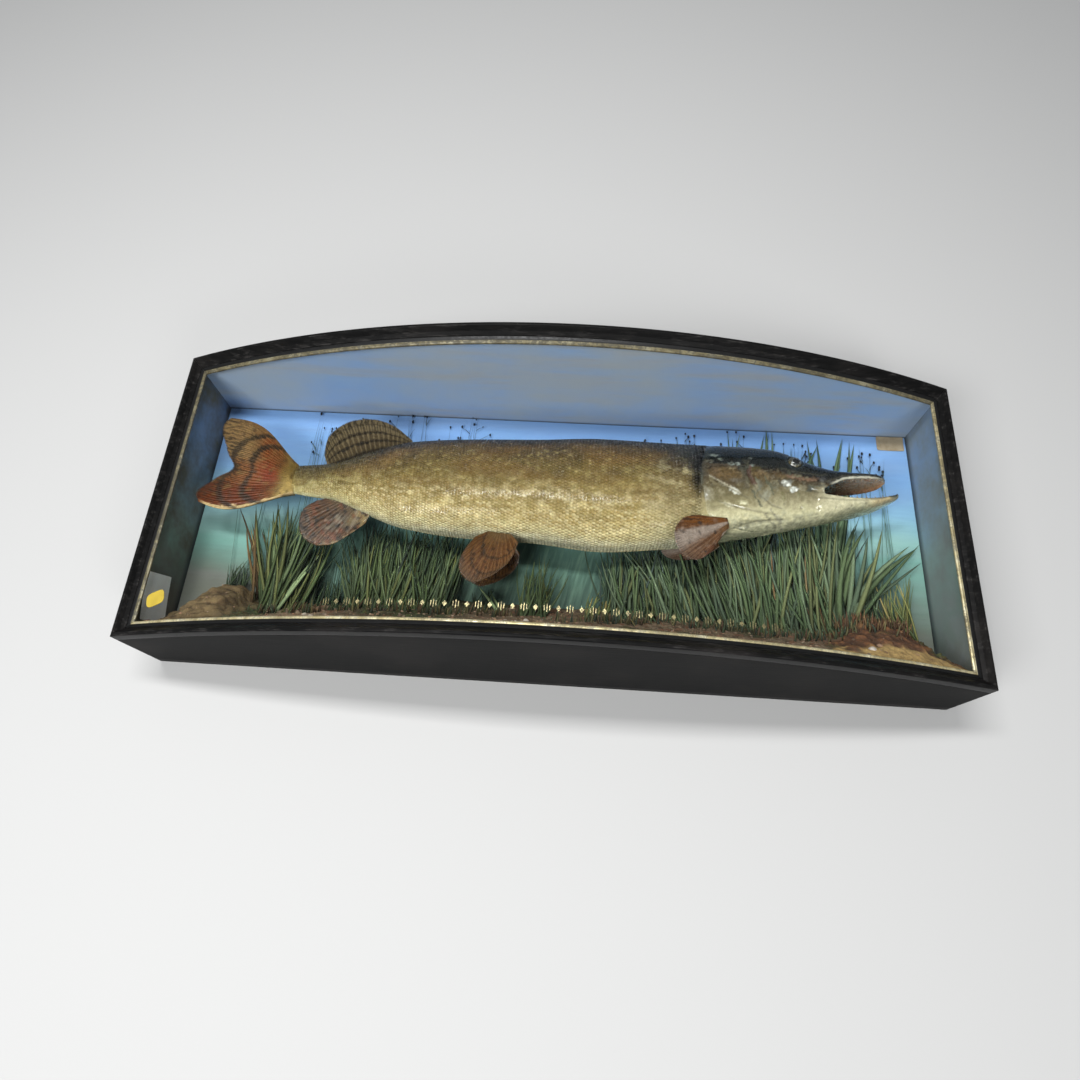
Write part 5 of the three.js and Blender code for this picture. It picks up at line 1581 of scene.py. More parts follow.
hip = painted_fin(
    [(0, (0.22, 0.14, 0.07)), (0.3, (0.16, 0.068, 0.024)), (0.75, (0.14, 0.05, 0.016)),
     (1, (0.085, 0.036, 0.016))],
    ((0.36, 0.19, 0.09), 0.6),
    lambda u, s, ridge: [(0.75 * eased(s, 0.8, 0.94) * (1 - ridge), (0.035, 0.02, 0.014))],
    [(81, 6, 0.75, (0.04, 0.022, 0.014), 0.75)],
    [(0.48, 0.04, 0.75, 0, 0.8), (0.8, 0.035, 0.7, 0, 0.7)],
    (0.72, 0.68, 0.46),
)
# The edges of the paired fins on each side. The last number is out from the middle plane.
for name, side, breast_tips, hip_tips in (
    ("near", 1,
     [(200, -5, 41), (179, -6, 45), (163, -12, 47), (153, -29, 47), (155, -47, 46), (165, -62, 45),
      (180, -66, 43), (193, -59, 41), (206, -43, 38), (216, -24, 35)],
     [(-95, -42, 24), (-104, -56, 25), (-111, -72, 26), (-112, -88, 26), (-104, -100, 26), (-91, -105, 25),
      (-75, -98, 24), (-58, -85, 23), (-45, -66, 22), (-40, -46, 21)]),
    ("far", -1,
     [(200, 0, 43), (180, 3, 47), (162, 0, 49), (150, -8, 49), (148, -19, 48), (156, -28, 47),
      (172, -32, 45), (190, -31, 42), (206, -27, 38), (218, -20, 34)],
     [(-96, -44, 24), (-104, -58, 25), (-108, -72, 26), (-104, -85, 26), (-92, -92, 26), (-78, -90, 25),
      (-63, -83, 24), (-49, -72, 23), (-41, -59, 22), (-40, -44, 21)]),
):
    off = lambda places: [(x, y, FISH_PLANE + side * out) for x, y, out in places]
    make_fin(
        f"pectoral_rays_{name}", f"pectoral_fin_{name}", "rust_fin",
        off([(222, -3, 34), (224, -9, 32.5), (225, -15, 30.5)]), off(breast_tips),
        14, (2.4, 1.1, 0.8), breast, seed=78,
    )
    make_fin(
        f"pelvic_rays_{name}", f"pelvic_fin_{name}", "rust_fin",
        off([(-80, -31, 18), (-66, -33, 19), (-50, -34, 19)]), off(hip_tips),
        12, (2.4, 1.1, 0.8), hip, seed=80,
    )


# ---- the modelled bank ----
# Paper and plaster over wood wool, dusted with real sand and grit while wet: a sandstone ledge at the
# left, gravel along the middle, moss, and a red-brown mound with a sandy foot at the right.

BANK_CREST = np.array([  # x, and how high the bank stands against the back board, in millimetres
    [-508, -150], [-470, -124], [-425, -102], [-392, -106], [-340, -114], [-220, -100], [-100, -98],
    [20, -102], [110, -93], [200, -92], [290, -102], [370, -94], [440, -101], [508, -136],
])
BANK_FRONT = -181  # height where the ground meets the glass
BANK_FLOOR = -190.6
BANK_ENDS = (-506.6, 507.5)
BANK_BACK = 14.4


def bank_front(x):
    """How far forward the bank reaches behind the bent glass at x."""
    return front_z(np.asarray(x) * MM) / MM - 22


def bank_level(x, share):
    """How high the bank stands at x, from the back board (share 0) to the glass (share 1)."""
    crest = station(BANK_CREST, x.ravel())[:, 0].reshape(x.shape)
    swells = 4 * np.sin(x / 17) * np.sin(share * 7 + x / 40)
    lumps = (swells + 2.5 * np.sin(x / 7.3 + share * 11)) * np.sin(np.pi * np.minimum(share + 0.12, 1))
    ledge = between(x, -500, -425, -412, -380) * np.sin(np.pi * np.clip(share * 1.15, 0, 1)) ** 0.8
    mound = 22 * between(x, 335, 395, 420, 500) * np.sin(np.pi * share)
    return crest + (BANK_FRONT - crest) * share**0.8 + 0.7 * lumps + 26 * ledge + mound


def pebbled(u, v, size, seed):
    """A bed of round stones over a plane: how high each point stands, 0 to 1, and its stone's number."""
    best, stone = np.full(u.shape, 9.0), np.zeros(u.shape)
    column, row = np.floor(u / size), np.floor(v / size)
    for i in (-1, 0, 1):
        for j in (-1, 0, 1):
            a, b = column + i, row + j
            draw = lambda n: (np.sin(a * 127.1 + b * 311.7 + seed * 17.3 + n * 74.7) * 43758.5453) % 1
            far = np.hypot(u / size - a - draw(1), v / size - b - draw(2)) / (0.65 + 0.5 * draw(3))
            stone = np.where(far < best, draw(4), stone)
            best = np.minimum(best, far)
    return np.sqrt(np.clip(1 - (best / 0.75) ** 2, 0, 1)), stone


GROUND, tree, shader, place = start_material("groundwork", Specular_IOR_Level=0.25)
grit = grainy(tree, place, 620, 3, 0.7)
patch = grainy(tree, place, 90, 5, 0.65)
colour = tone_between(tree, faded(tree, patch, 0.32, 0.68), (0.72, 0.7, 0.68), (1.22, 1.2, 1.16))
for start, end, most, tint in ((0.6, 0.7, 0.8, (0.35, 0.31, 0.28)), (0.4, 0.32, 0.6, (1.7, 1.65, 1.6))):
    grain = tinted(tree, attribute(tree, "tone"), tint)
    colour = mixed(tree, faded(tree, grit, start, end, 0, most), colour, grain)
dressed(tree, shader, colour, faded(tree, patch, 0.3, 0.7, 0.8, 0.97), sums(tree, "ADD", grit, patch),
        0.6, 0.0012)


def bank_surface(columns=560, rows=96):
    """Points of the bank's top and their colours, as grids from end to end and from back to front."""
    x = np.linspace(*BANK_ENDS, columns)[:, None] * np.ones((1, rows))
    share = np.linspace(0, 1, rows)[None] * np.ones((columns, 1))
    z = BANK_BACK + (bank_front(x) - BANK_BACK) * share
    y = bank_level(x, share)
    base = np.stack([x, y, z], -1)
    normal = unit(np.cross(np.gradient(base, axis=0), np.gradient(base, axis=1)))
    normal *= np.sign(normal[..., 1:2] + normal[..., 2:])
    flat = base.reshape(-1, 3)
    broad, wide, mid, fine = (
        waves(seed, 40, low, low * 3)(flat).reshape(x.shape)
        for seed, low in ((90, 60), (91, 20), (92, 8), (93, 3.5))
    )
    rock = eased(x + 10 * wide, -374, -388)
    mound = eased(x + 20 * wide, 322, 350)
    sandy = mound * eased(x + 900 * (share - 0.75) + 40 * wide, 440, 500)
    patches = 0.9 * eased(broad + 0.4 * wide, 0.1, 1.1) * (1 - rock)
    mossy = bell(x + 362 - 5 * wide, 18) + bell(x + 150 - 12 * wide, 60) + patches
    mossy = np.clip(mossy, 0, 1) * (1 - sandy)
    gravel = np.clip(1 - rock - mound, 0, 1) * (1 - mossy)
    along = np.cumsum(np.hypot(np.gradient(y, axis=1), np.gradient(z, axis=1)), axis=1)
    coarse, stone = pebbled(x, along, 7, 3)
    chips = pebbled(x + 3, along, 3.4, 5)[0]
    ledges = np.abs(waves(97, 30, 14, 60, (2.2, 0.6, 1))(flat)).reshape(x.shape)
    rise = rock * (2.4 * np.minimum(ledges, 1.6) + mid + 0.35 * fine - 1.5)
    rise += gravel * (1.9 * coarse * (stone > 0.35) + chips - 0.6)
    rise += mossy * (1.1 * np.abs(fine) + 1.2 * mid + 0.6)
    rise += mound * (1 - sandy) * (1.8 * mid + np.abs(fine)) + sandy * (0.5 * chips + 0.7 * mid)
    left, right = BANK_ENDS
    hold = between(share, 0, 0.03, 0.97, 1) * between(x, left, left + 5, right - 5, right)
    points = base + normal * (rise * hold)[..., None]
    points[..., 1] = np.maximum(points[..., 1], BANK_FLOOR + 3)
    lit = 0.66 + 0.12 * rock + 0.4 * sandy + 0.4 * mound + 0.4 * eased(x, -240, -300) * (1 - rock)
    x, wide, mid, fine, rock, mound, sandy, mossy, gravel, coarse, stone, chips, ledges = np.reshape(
        [x, wide, mid, fine, rock, mound, sandy, mossy, gravel, coarse, stone, chips, ledges], (13, -1)
    )
    sandstone = laid(
        np.array((0.2, 0.15, 0.082)),
        (0.6 * eased(mid + fine, 0.5, 1.8), (0.13, 0.08, 0.045)),
        (0.75 * eased(ledges, 0.3, 0.05), (0.08, 0.05, 0.03)),
        (eased(x + 14 * wide, -460, -495), (0.17, 0.085, 0.048)),
    )
    earth = laid(
        np.array((0.08, 0.042, 0.027)),
        (eased(mid + 0.7 * fine, 0.3, 1.3), (0.19, 0.09, 0.045)),
        (0.7 * eased(-mid + 0.5 * wide, 0.4, 1.4), (0.035, 0.022, 0.015)),
    )
    moss = laid(
        np.array((0.04, 0.05, 0.026)),
        (eased(fine + 0.5 * mid, 0.2, 1.2), (0.085, 0.105, 0.045)),
        (0.7 * eased(-fine + 0.5 * wide, 0.6, 1.3), (0.11, 0.06, 0.028)),
    )
    tone = laid(
        np.array((0.165, 0.12, 0.082)),
        (gravel * eased(stone, 0.3, 0.6), (0.26, 0.205, 0.15)),
        (gravel * eased(stone, 0.78, 0.9) * 0.9, (0.24, 0.12, 0.078)),
        (gravel * eased(coarse + chips, 0.9, 0.2) * 0.8, (0.055, 0.035, 0.024)),
        (rock, sandstone),
        (mound, earth),
        (sandy * (0.7 + 0.3 * eased(fine, -0.5, 0.5)), (0.33, 0.24, 0.11)),
        (mossy, moss),
    )
    return points, np.clip(tone * lit.reshape(-1, 1) * (0.97, 0.89, 0.78), 0.01, 0.8)


ground, shade = bank_surface()
columns, rows = ground.shape[:2]
top, rim = ground.reshape(-1, 3), rim_of(columns, rows)
foot = top[rim] * (1, 0, 1) + (0, BANK_FLOOR, 0)
below = len(top) + np.arange(len(rim))
sides = np.stack([rim, np.roll(rim, -1), np.roll(below, -1), below], 1)
faces = listed(np.vstack([grid_faces(columns, rows), sides])) + [tuple(below[::-1].tolist())]
# The bank's sides carry its top's colours at half strength, as painted shade.
face_out(make_piece(
    "bank_ground", np.vstack([top, foot]) * MM, faces, GROUND, "groundwork",
    ["bank_left", "bank_middle", "bank_right"], layers={"tone": np.vstack([shade, shade[rim] * 0.5])},
))


# ---- loose stones ----
# Pebbles and grit that were pressed into the wet plaster, most of them along the front.

PEBBLES = [  # the larger ones: x, share of the way to the glass, radius, colour
    (378, 0.9, 5.2, (0.62, 0.55, 0.5)), (392, 0.84, 3.8, (0.4, 0.25, 0.16)),
    (-28, 0.95, 4, (0.48, 0.42, 0.36)), (-40, 0.9, 3.2, (0.42, 0.38, 0.34)),
    (-15, 0.92, 3.6, (0.5, 0.44, 0.38)), (-262, 0.95, 4.4, (0.45, 0.36, 0.29)),
    (-250, 0.88, 3.4, (0.36, 0.27, 0.21)), (-274, 0.9, 3, (0.5, 0.42, 0.34)),
]
GRIT_COUNT = 620
GRIT_COLOUR = np.array([0.205, 0.15, 0.108])
STONE_TILT = 0.6


def ground_at(x, share):
    """The bank's surface at x and a share of the way from the back board to the glass."""
    columns, rows = ground.shape[:2]
    i = (np.asarray(x) - BANK_ENDS[0]) / (BANK_ENDS[1] - BANK_ENDS[0]) * (columns - 1)
    k = np.asarray(share) * (rows - 1)
    return ground[np.clip(i.astype(int), 0, columns - 1), np.clip(k.astype(int), 0, rows - 1)]


draw = np.random.default_rng(91)
shaper = bmesh.new()
bmesh.ops.create_icosphere(shaper, subdivisions=2, radius=1)
shaper.verts.ensure_lookup_table()
ball_points = np.array([tuple(v.co) for v in shaper.verts])
ball_faces = np.array([[v.index for v in face.verts] for face in shaper.faces])
shaper.free()
stones = list(PEBBLES)
for _ in range(GRIT_COUNT):
    x = draw.uniform(-330, 340) if draw.random() < 0.75 else draw.uniform(-500, 500)
    warm = draw.random()
    colour = GRIT_COLOUR * (0.6 + draw.random()) * (1, 1 - 0.25 * warm, 1 - 0.4 * warm)
    stones.append((x, 1 - 0.75 * draw.random() ** 1.6, draw.uniform(0.7, 2.1), colour))
points, tones = [], []
c, s = math.cos(STONE_TILT), math.sin(STONE_TILT)
tilt = np.array([[1, 0, 0], [0, c, s], [0, -s, c]])
for x, share, size, colour in stones:
    squash = draw.uniform((0.9, 0.5, 0.8), (1.35, 0.75, 1.1)) * size
    turn = draw.uniform(0, 2 * np.pi)
    c, s = math.cos(turn), math.sin(turn)
    shaped = ball_points * (1 + 0.12 * np.sin(ball_points @ draw.normal(0, 3, 3) + turn)[:, None]) * squash
    shaped = shaped @ np.array([[c, 0, s], [0, 1, 0], [-s, 0, c]]) @ tilt
    points.append(np.maximum(shaped + ground_at(x, share), (-600, BANK_FLOOR + 0.5, BANK_BACK)))
    # Painted light and shade: each stone is a little lighter on its upper side and darker below.
    tones.append(np.tile(colour, (len(shaped), 1)) * (1 + 0.15 * shaped[:, 1:2] / size))
faces = (ball_faces[None] + (np.arange(len(stones)) * len(ball_points))[:, None, None]).reshape(-1, 3)
points = np.vstack(points)
points[:, 2] = np.minimum(points[:, 2], bank_front(points[:, 0]) + 0.5)
points[:, 0] = np.clip(points[:, 0], *BANK_ENDS)
tones = np.clip(np.vstack(tones), 0.01, 0.9)
make_piece("bank_stones", points * MM, faces, GROUND, "groundwork", layers={"tone": tones})


# ---- reeds and grasses ----
# Dried sedge and grass, dipped in green size and pushed into the bank in clumps: broad blades, and
# finer dark growth between them.

CLUMPS = [  # x, half spread, share from back to front, blades, lowest tip, highest tip, width, lean, colours
    (-424, 14, 0.16, 34, -92, -58, 1.4, -0.05, "dark"),
    (-358, 15, 0.32, 64, -60, 34, 3.8, -0.02, "fresh"),
    (-386, 9, 0.14, 12, -30, 24, 3, -0.34, "brown"),
    (-336, 14, 0.3, 40, -84, -14, 3.2, 0.02, "fresh"),
    (-344, 20, 0.25, 60, -70, 16, 1.8, 0.03, "dark"),
    (-290, 26, 0.28, 60, -116, -76, 1.8, 0, "dark"),
    (-344, 2, 0.44, 2, -38, -34, 4.6, 0.42, "pale"),
    (-228, 28, 0.34, 120, -80, -6, 2.9, -0.08, "fresh"),
    (-170, 34, 0.34, 130, -84, -10, 2.7, 0.05, "fresh"),
    (-190, 66, 0.22, 180, -60, 24, 2.2, 0, "dark"),
    (-56, 4, 0.4, 2, -84, -72, 3.4, -0.55, "pale"),
    (-84, 14, 0.3, 16, -100, -80, 1.6, 0, "dark"),
    (-14, 16, 0.34, 36, -80, -28, 2, 0.05, "fresh"),
    (66, 18, 0.38, 20, -100, -70, 2.4, 0.15, "yellow"),
    (108, 24, 0.38, 64, -88, -10, 3.2, 0.05, "fresh"),
    (166, 26, 0.38, 74, -84, 0, 3.4, -0.15, "fresh"),
    (140, 70, 0.22, 150, -66, 16, 2, 0, "dark"),
    (238, 34, 0.36, 120, -76, 40, 3.2, -0.1, "fresh"),
    (300, 34, 0.36, 130, -70, 60, 3.2, 0, "fresh"),
    (352, 26, 0.36, 90, -60, 66, 3.2, 0.06, "fresh"),
    (300, 100, 0.22, 240, -50, 60, 2.2, 0, "dark"),
    (330, 60, 0.34, 26, -60, 30, 2.6, 0.05, "brown"),
    (372, 9, 0.46, 13, -20, 56, 5.6, 0.36, "fresh"),
    (388, 6, 0.46, 4, -20, 16, 6.2, 1, "fresh"),
    (408, 18, 0.3, 40, -86, -20, 1.8, 0.25, "fresh"),
    (404, 42, 0.46, 170, -124, -106, 1.5, 0, "rust"),
    (264, 4, 0.08, 4, 182, 200, 8, 0.15, "reed"),
    (236, 8, 0.08, 3, 170, 188, 6, 0.08, "reed"),
    (330, 8, 0.08, 3, 150, 170, 6, 0.02, "reed"),
    (350, 4, 0.08, 4, 164, 182, 7.5, 0.08, "reed"),
    (366, 6, 0.08, 4, 160, 184, 7.5, 0.2, "reed"),
    (170, 26, 0.08, 4, 160, 174, 5, 0.02, "reed"),
    (454, 18, 0.36, 54, -100, -30, 1.8, 0.05, "yellow"),
    (250, 180, 0.58, 150, -158, -136, 1.9, 0, "moss"),
    (-200, 170, 0.58, 170, -160, -138, 1.9, 0, "moss"),
    (60, 60, 0.62, 50, -160, -142, 1.7, 0, "moss"),
]
BLADE_TONES = {
    "fresh": [(0.062, 0.092, 0.044), (0.08, 0.112, 0.052), (0.105, 0.14, 0.082), (0.072, 0.1, 0.062),
              (0.118, 0.132, 0.058)],
    "dark": [(0.03, 0.05, 0.03), (0.046, 0.07, 0.042), (0.062, 0.092, 0.054), (0.04, 0.056, 0.048)],
    "brown": [(0.135, 0.08, 0.038), (0.095, 0.058, 0.03), (0.185, 0.135, 0.066), (0.095, 0.1, 0.046)],
    "yellow": [(0.2, 0.195, 0.065), (0.15, 0.165, 0.062), (0.25, 0.2, 0.075), (0.11, 0.14, 0.058)],
    "reed": [(0.05, 0.085, 0.05), (0.075, 0.115, 0.06)],
    "pale": [(0.27, 0.35, 0.22)],
    "moss": [(0.034, 0.044, 0.022), (0.08, 0.068, 0.03), (0.026, 0.034, 0.022), (0.06, 0.036, 0.02)],
    "rust": [(0.09, 0.04, 0.02), (0.055, 0.03, 0.016), (0.12, 0.075, 0.034)],
}
CLUMP_TINTS = ((0.95, 0.93, 0.74), (1.3, 1.3, 1.3))  # left of the middle and right of it
FURTHEST_BACK = 14.6
UNDER_FISH = 33  # no blade comes further forward than this over the belly line


def leaf_material():
    made, tree, shader, place = start_material("dyed_sedge", Specular_IOR_Level=0.15)
    streak = grainy(tree, stretched(tree, place, (900, 60, 900)), 1, 3, 0.6)
    colour = tone_between(tree, faded(tree, streak, 0.32, 0.68), (0.84, 0.85, 0.82), (1.15, 1.13, 1.11))
    dressed(tree, shader, colour, faded(tree, streak, 0.3, 0.7, 0.55, 0.8), streak, 0.35, 0.0004)
    return made


def grow(roots, tips, sag, width, tones, rings=8):
    """Blades from roots to tips, as one mesh. Each has a keel, so that it is solid, and tapers."""
    count = len(roots)
    t = np.linspace(0, 1, rings)[None, :, None]
    climb = np.concatenate([t**1.25, t, t**0.8], 2)
    middle = roots[:, None] + (tips - roots)[:, None] * climb + sag[:, None] * np.sin(np.pi * t)
    way = unit(np.gradient(middle, axis=1))
    across = np.cross(way, (0, 0, 1))
    across /= np.maximum(np.linalg.norm(across, axis=2, keepdims=True), 1e-6)
    face = np.cross(across, way)
    wide = width[:, None, None] / 2 * (0.55 + 0.45 * np.minimum(t * 5, 1)) * (1 - t) ** 0.55 + 0.05
    keel = wide * 0.22 + 0.12
    side, keel = across * wide, face * keel
    corners = np.stack([middle + side, middle + keel, middle - side, middle - keel], 2)
    blade = np.array(capped_faces(rings, 4))
    faces = (blade[None] + (np.arange(count) * rings * 4)[:, None, None]).reshape(-1, 4)
    # Painted shade darkens each blade towards its root, and the keel that faces the glass is painted lighter
    # as painted light.
    shade = tones[:, None, None, :] * (0.55 + 0.55 * t[..., None] ** 0.6)
    shade = np.broadcast_to(shade, corners.shape).copy()
    shade[:, :, 1] *= 1.12
    return corners.reshape(-1, 3), faces, shade.reshape(-1, 3)


draw = np.random.default_rng(95)
blades = []
for x, spread, share, count, low, high, wide, lean, kind in CLUMPS:
    at = np.clip(x + draw.uniform(-1, 1, count) * spread, -500, 502)
    root = ground_at(at, np.clip(share + draw.normal(0, 0.05, count), 0.06, 0.8)) - (0, 2.5, 0)
    top = low + (high - low) * draw.random(count) ** 0.85
    climb = np.maximum(top - root[:, 1], 14)
    tip_x = at + climb * (lean + draw.normal(0, 0.02 if kind == "reed" else 0.15, count))
    if kind in ("moss", "rust"):
        tip_z = root[:, 2] + draw.normal(0, 6, count)
    else:
        tip_z = draw.uniform(*((17, 20) if kind == "reed" else (19, 30)), count)
    if kind in ("fresh", "dark"):
        tip_x += 0.9 * (root[:, 2] - tip_z) * np.minimum(at, 0) / 900
    tip = np.stack([np.clip(tip_x, -500, 502), root[:, 1] + climb, tip_z], 1)
    bow = np.stack([draw.normal(0, 0.05, count) * climb, 0 * climb, draw.uniform(-1, 4, count)], 1)
    tint = draw.integers(0, len(BLADE_TONES[kind]), count)
    tone = np.array(BLADE_TONES[kind])[tint] * draw.uniform(0.75, 1.3, (count, 1))
    tone = tone * CLUMP_TINTS[x > 0] + 0.006
    blades.append((root, tip, bow, wide * draw.uniform(0.9, 2.1, count), tone))
points, faces, shade = grow(*map(np.concatenate, zip(*blades)))
inside = (points[:, 0] > TAIL_ROOT_X) & (points[:, 0] < JAW_ROOT_X)
belly = np.where(inside, station(BODY, points[:, 0])[:, 1], 60) - 2
crowded = (points[:, 2] > UNDER_FISH) & (points[:, 1] > belly) & (points[:, 0] > -340)
points[crowded, 2] = UNDER_FISH
points[:, 2] = np.maximum(points[:, 2], FURTHEST_BACK)
make_piece(
    "sedge_blades", points * MM, faces, leaf_material(), "groundwork",
    ["bank_left", "bank_middle", "bank_right"], layers={"tone": np.clip(shade, 0.006, 0.6)},
)


# ---- seed stalks ----
# Thin dried stalks that stand up behind the fish, close to the back board, with short side twigs and
# small dark seed heads.

STALK_GROUPS = [  # x, half spread, stalks, lowest tip, highest tip
    (-345, 24, 8, 160, 186), (-268, 30, 10, 162, 187), (-205, 24, 6, 165, 190), (-145, 20, 6, 166, 192),
    (145, 12, 4, 160, 176), (182, 14, 6, 160, 180), (227, 12, 4, 158, 176), (268, 14, 5, 160, 188),
    (335, 24, 10, 150, 174), (385, 10, 4, 128, 146), (433, 14, 6, 146, 174), (464, 8, 4, 120, 142),
    (-430, 14, 3, 100, 140),
]
STALK_TONES = np.array([(0.04, 0.055, 0.045), (0.022, 0.032, 0.028), (0.034, 0.042, 0.03)])
SEED_TONE = (0.018, 0.02, 0.026)

draw = np.random.default_rng(98)
roots, tips, heads = [], [], []
for x, spread, count, low, high in STALK_GROUPS:
    for _ in range(count):
        at = x + draw.uniform(-1, 1) * spread
        root = ground_at(at, 0.05) + (0, 0, 2)
        tip = np.array([at + draw.normal(0, 11), draw.uniform(low, high), draw.uniform(17, 20)])
        roots.append(root)
        tips.append(tip)
        if draw.random() < 0.65:
            heads.append((tip, draw.uniform(0.9, 1.7)))
        for _ in range(draw.integers(0, 3)):
            s = draw.uniform(0.82, 0.95)
            joint = root + (tip - root) * (s**1.25, s, s**0.8)
            twig = joint + (draw.normal(0, 9), draw.uniform(5, 16), 0)
            roots.append(joint)
            tips.append(twig)
            if draw.random() < 0.7:
                heads.append((twig, draw.uniform(0.8, 1.5)))
count = len(roots)
tones = STALK_TONES[draw.integers(0, 3, count)]
sag = draw.normal(0, 1.2, count)[:, None] * (1, 0, 0)
width = draw.uniform(0.8, 1.6, count)
stalks, faces, shade = grow(np.array(roots), np.array(tips), sag, width, tones, rings=10)
shade = laid(shade, (0.9 * eased(stalks[:, 1], 165, 70), (0.15, 0.26, 0.22)))
rings, around = 6, 8
polar, angle = np.linspace(0.12, np.pi - 0.12, rings)[:, None], spun(around)[None]
bump = 1 + 0.2 * np.cos(3 * angle + 5 * polar)
seed = np.stack([
    np.sin(polar) * np.cos(angle) * bump,
    -1.7 * np.cos(polar) + 0 * angle,
    np.sin(polar) * np.sin(angle) * bump,
], -1).reshape(-1, 3)
parts = [(stalks, listed(faces))] + [(seed * size + tip, capped_faces(rings, around)) for tip, size in heads]
points, faces = joined(parts)
points[:, 2] = np.maximum(points[:, 2], FURTHEST_BACK)
shade = np.vstack([shade, np.tile(SEED_TONE, (len(heads) * len(seed), 1))])
make_piece("seed_stalks", points * MM, faces, leaf_material(), "groundwork", layers={"tone": shade})


# ---- iron stays ----
# Two blacked iron rods that hold the fish off the back board, each with a round foot and two screws.

STAY_PLACES = (("front", 120, 42), ("rear", -150, 40))  # name, x and y
FOOT = [  # radius and height
    (9, 14.35), (9.2, 14.8), (9.2, 15.8), (8.6, 16.2), (5.4, 16.4), (4.7, 17.4), (4.4, 20),
]
SCREW = [(1.7, 15.9), (1.7, 16.5), (1.3, 16.9), (0.5, 17.05)]
SCREW_PITCH = 7


def turned(x, y, profile, around=32):
    """A round piece that stands at x and y, from its radii and heights."""
    ring = np.stack([np.cos(spun(around)), np.sin(spun(around)), np.zeros(around)], 1)
    return np.vstack([ring * radius + (x, y, z) for radius, z in profile]), capped_faces(len(profile), around)


iron, tree, shader, place = start_material("blacked_iron", Metallic=0.75, Roughness=0.5)
rust = grainy(tree, place, 160, 4, 0.6)
dressed(tree, shader, mixed(tree, faded(tree, rust, 0.5, 0.68), (0.045, 0.042, 0.04), (0.11, 0.05, 0.026)),
        None, rust, 0.3, 0.0004)
for name, x, y in STAY_PLACES:
    back, belly, thick = station(BODY, x)[0, :3]
    level = (y - (back + belly) / 2) / ((back - belly) / 2)
    top = FISH_PLANE - thick * (1 - abs(level) ** 2.3) ** (1 / 2.3) + 1.5
    parts = [turned(x, y, FOOT + [(4, top - 1), (3.6, top)])]
    parts += [turned(x + side * SCREW_PITCH, y, SCREW) for side in (1, -1)]
    points, faces = joined(parts)
    face_out(make_piece(f"iron_stay_{name}", points * MM, faces, iron, "iron", [f"stay_{name}"], sharp=35))


# ---- paper label, card and dot ----
# A browned paper label pasted to the back board, a grey card on the left end and a small yellow
# paper dot on the glass. None of them bears writing.

def paper_material(name, colour, age, strength):
    made, tree, shader, place = start_material(name, Roughness=0.85, Specular_IOR_Level=0.2)
    fibre = grainy(tree, place, 700, 3, 0.6)
    stain = grainy(tree, place, 55, 5, 0.6)
    base = mixed(tree, faded(tree, stain, 0.38, 0.68, 0, strength), colour, age)
    base = mixed(tree, faded(tree, fibre, 0.6, 0.75, 0, 0.35), base, age)
    dressed(tree, shader, base, None, fibre, 0.3, 0.0002)
    return made


def make_sheet(name, node, slot, finish, centre, across, up, size, thick, curl, corner=0.12):
    """A thin sheet with slightly worn round corners. curl lifts its free corners, in millimetres."""
    centre, across, up = (np.asarray(value, float) for value in (centre, across, up))
    out = np.cross(across, up)
    draw = np.random.default_rng(len(name))
    rings, around = 10, 96
    edge = np.stack([np.cos(spun(around)), np.sin(spun(around))], 1)
    edge = np.sign(edge) * np.abs(edge) ** corner
    edge *= 1 - 0.01 * draw.random((around, 1))
    points = []
    for way in (0.5, -0.5):
        for r in range(1, rings + 1):
            flat = edge * r / rings
            lift = curl * np.clip(np.abs(flat[:, 0]) + np.abs(flat[:, 1]) - 1.1, 0, 1) ** 2 / 0.81
            points.append(
                centre + across * flat[:, :1] * size[0] / 2 + up * flat[:, 1:] * size[1] / 2
                + out * (lift + way * thick)[:, None]
            )
    flat = np.vstack(points + [centre + out * thick / 2, centre - out * thick / 2])
    count = rings * around
    faces = []
    for start, hub in ((0, 2 * count), (count, 2 * count + 1)):
        faces += fan(hub, start, around) + listed(grid_faces(rings, around, wrap=True, start=start))
    last = np.arange(around) + (rings - 1) * around
    following = np.roll(last, -1)
    faces += listed(np.stack([last, following, following + count, last + count], 1))
    face_out(make_piece(name, flat * MM, faces, finish, slot, [node], sharp=40))


browned = paper_material("browned_paper", (0.36, 0.285, 0.19), (0.23, 0.165, 0.092), 0.8)
grey = paper_material("grey_card", (0.9, 0.9, 0.86), (0.78, 0.765, 0.7), 0.5)
yellow = paper_material("yellow_paper", (0.42, 0.31, 0.04), (0.28, 0.2, 0.03), 0.35)
make_sheet("back_label", "paper_label", "aged_paper", browned, (485.5, 179.5, 14.55), (1, 0, 0), (0, 1, 0),
           (39, 23), 0.4, 1.2)
CARD_LEAN = 0.2
c, s = math.cos(CARD_LEAN), math.sin(CARD_LEAN)
make_sheet("end_card", "wall_card", "grey_card", grey, (-507.35, -136, 73), (0, s, -c), (0, c, s),
           (57, 62), 0.45, 0.8, 0.06)
# The dot lies along the bent glass, turned a little.
DOT_X, DOT_TURN = -477, 0.3
slope = (front_z((DOT_X + 1) * MM) - front_z((DOT_X - 1) * MM)) / 2 / MM
c, s = math.cos(DOT_TURN), math.sin(DOT_TURN)
make_sheet("yellow_dot", "glass_dot", "yellow_paper", yellow,
           (DOT_X, -152.5, front_z(DOT_X * MM) / MM - 17.7),
           unit(np.array([c, s, slope * c])), unit(np.array([-s, c, -slope * s])), (28, 19), 0.45, 0, 0.55)


# ---- gilt line on the glass ----
# A plain ornament in gold leaf along the foot of the glass, on its inner face: lozenges with short
# strokes between them. It takes the place of a legend and says nothing.

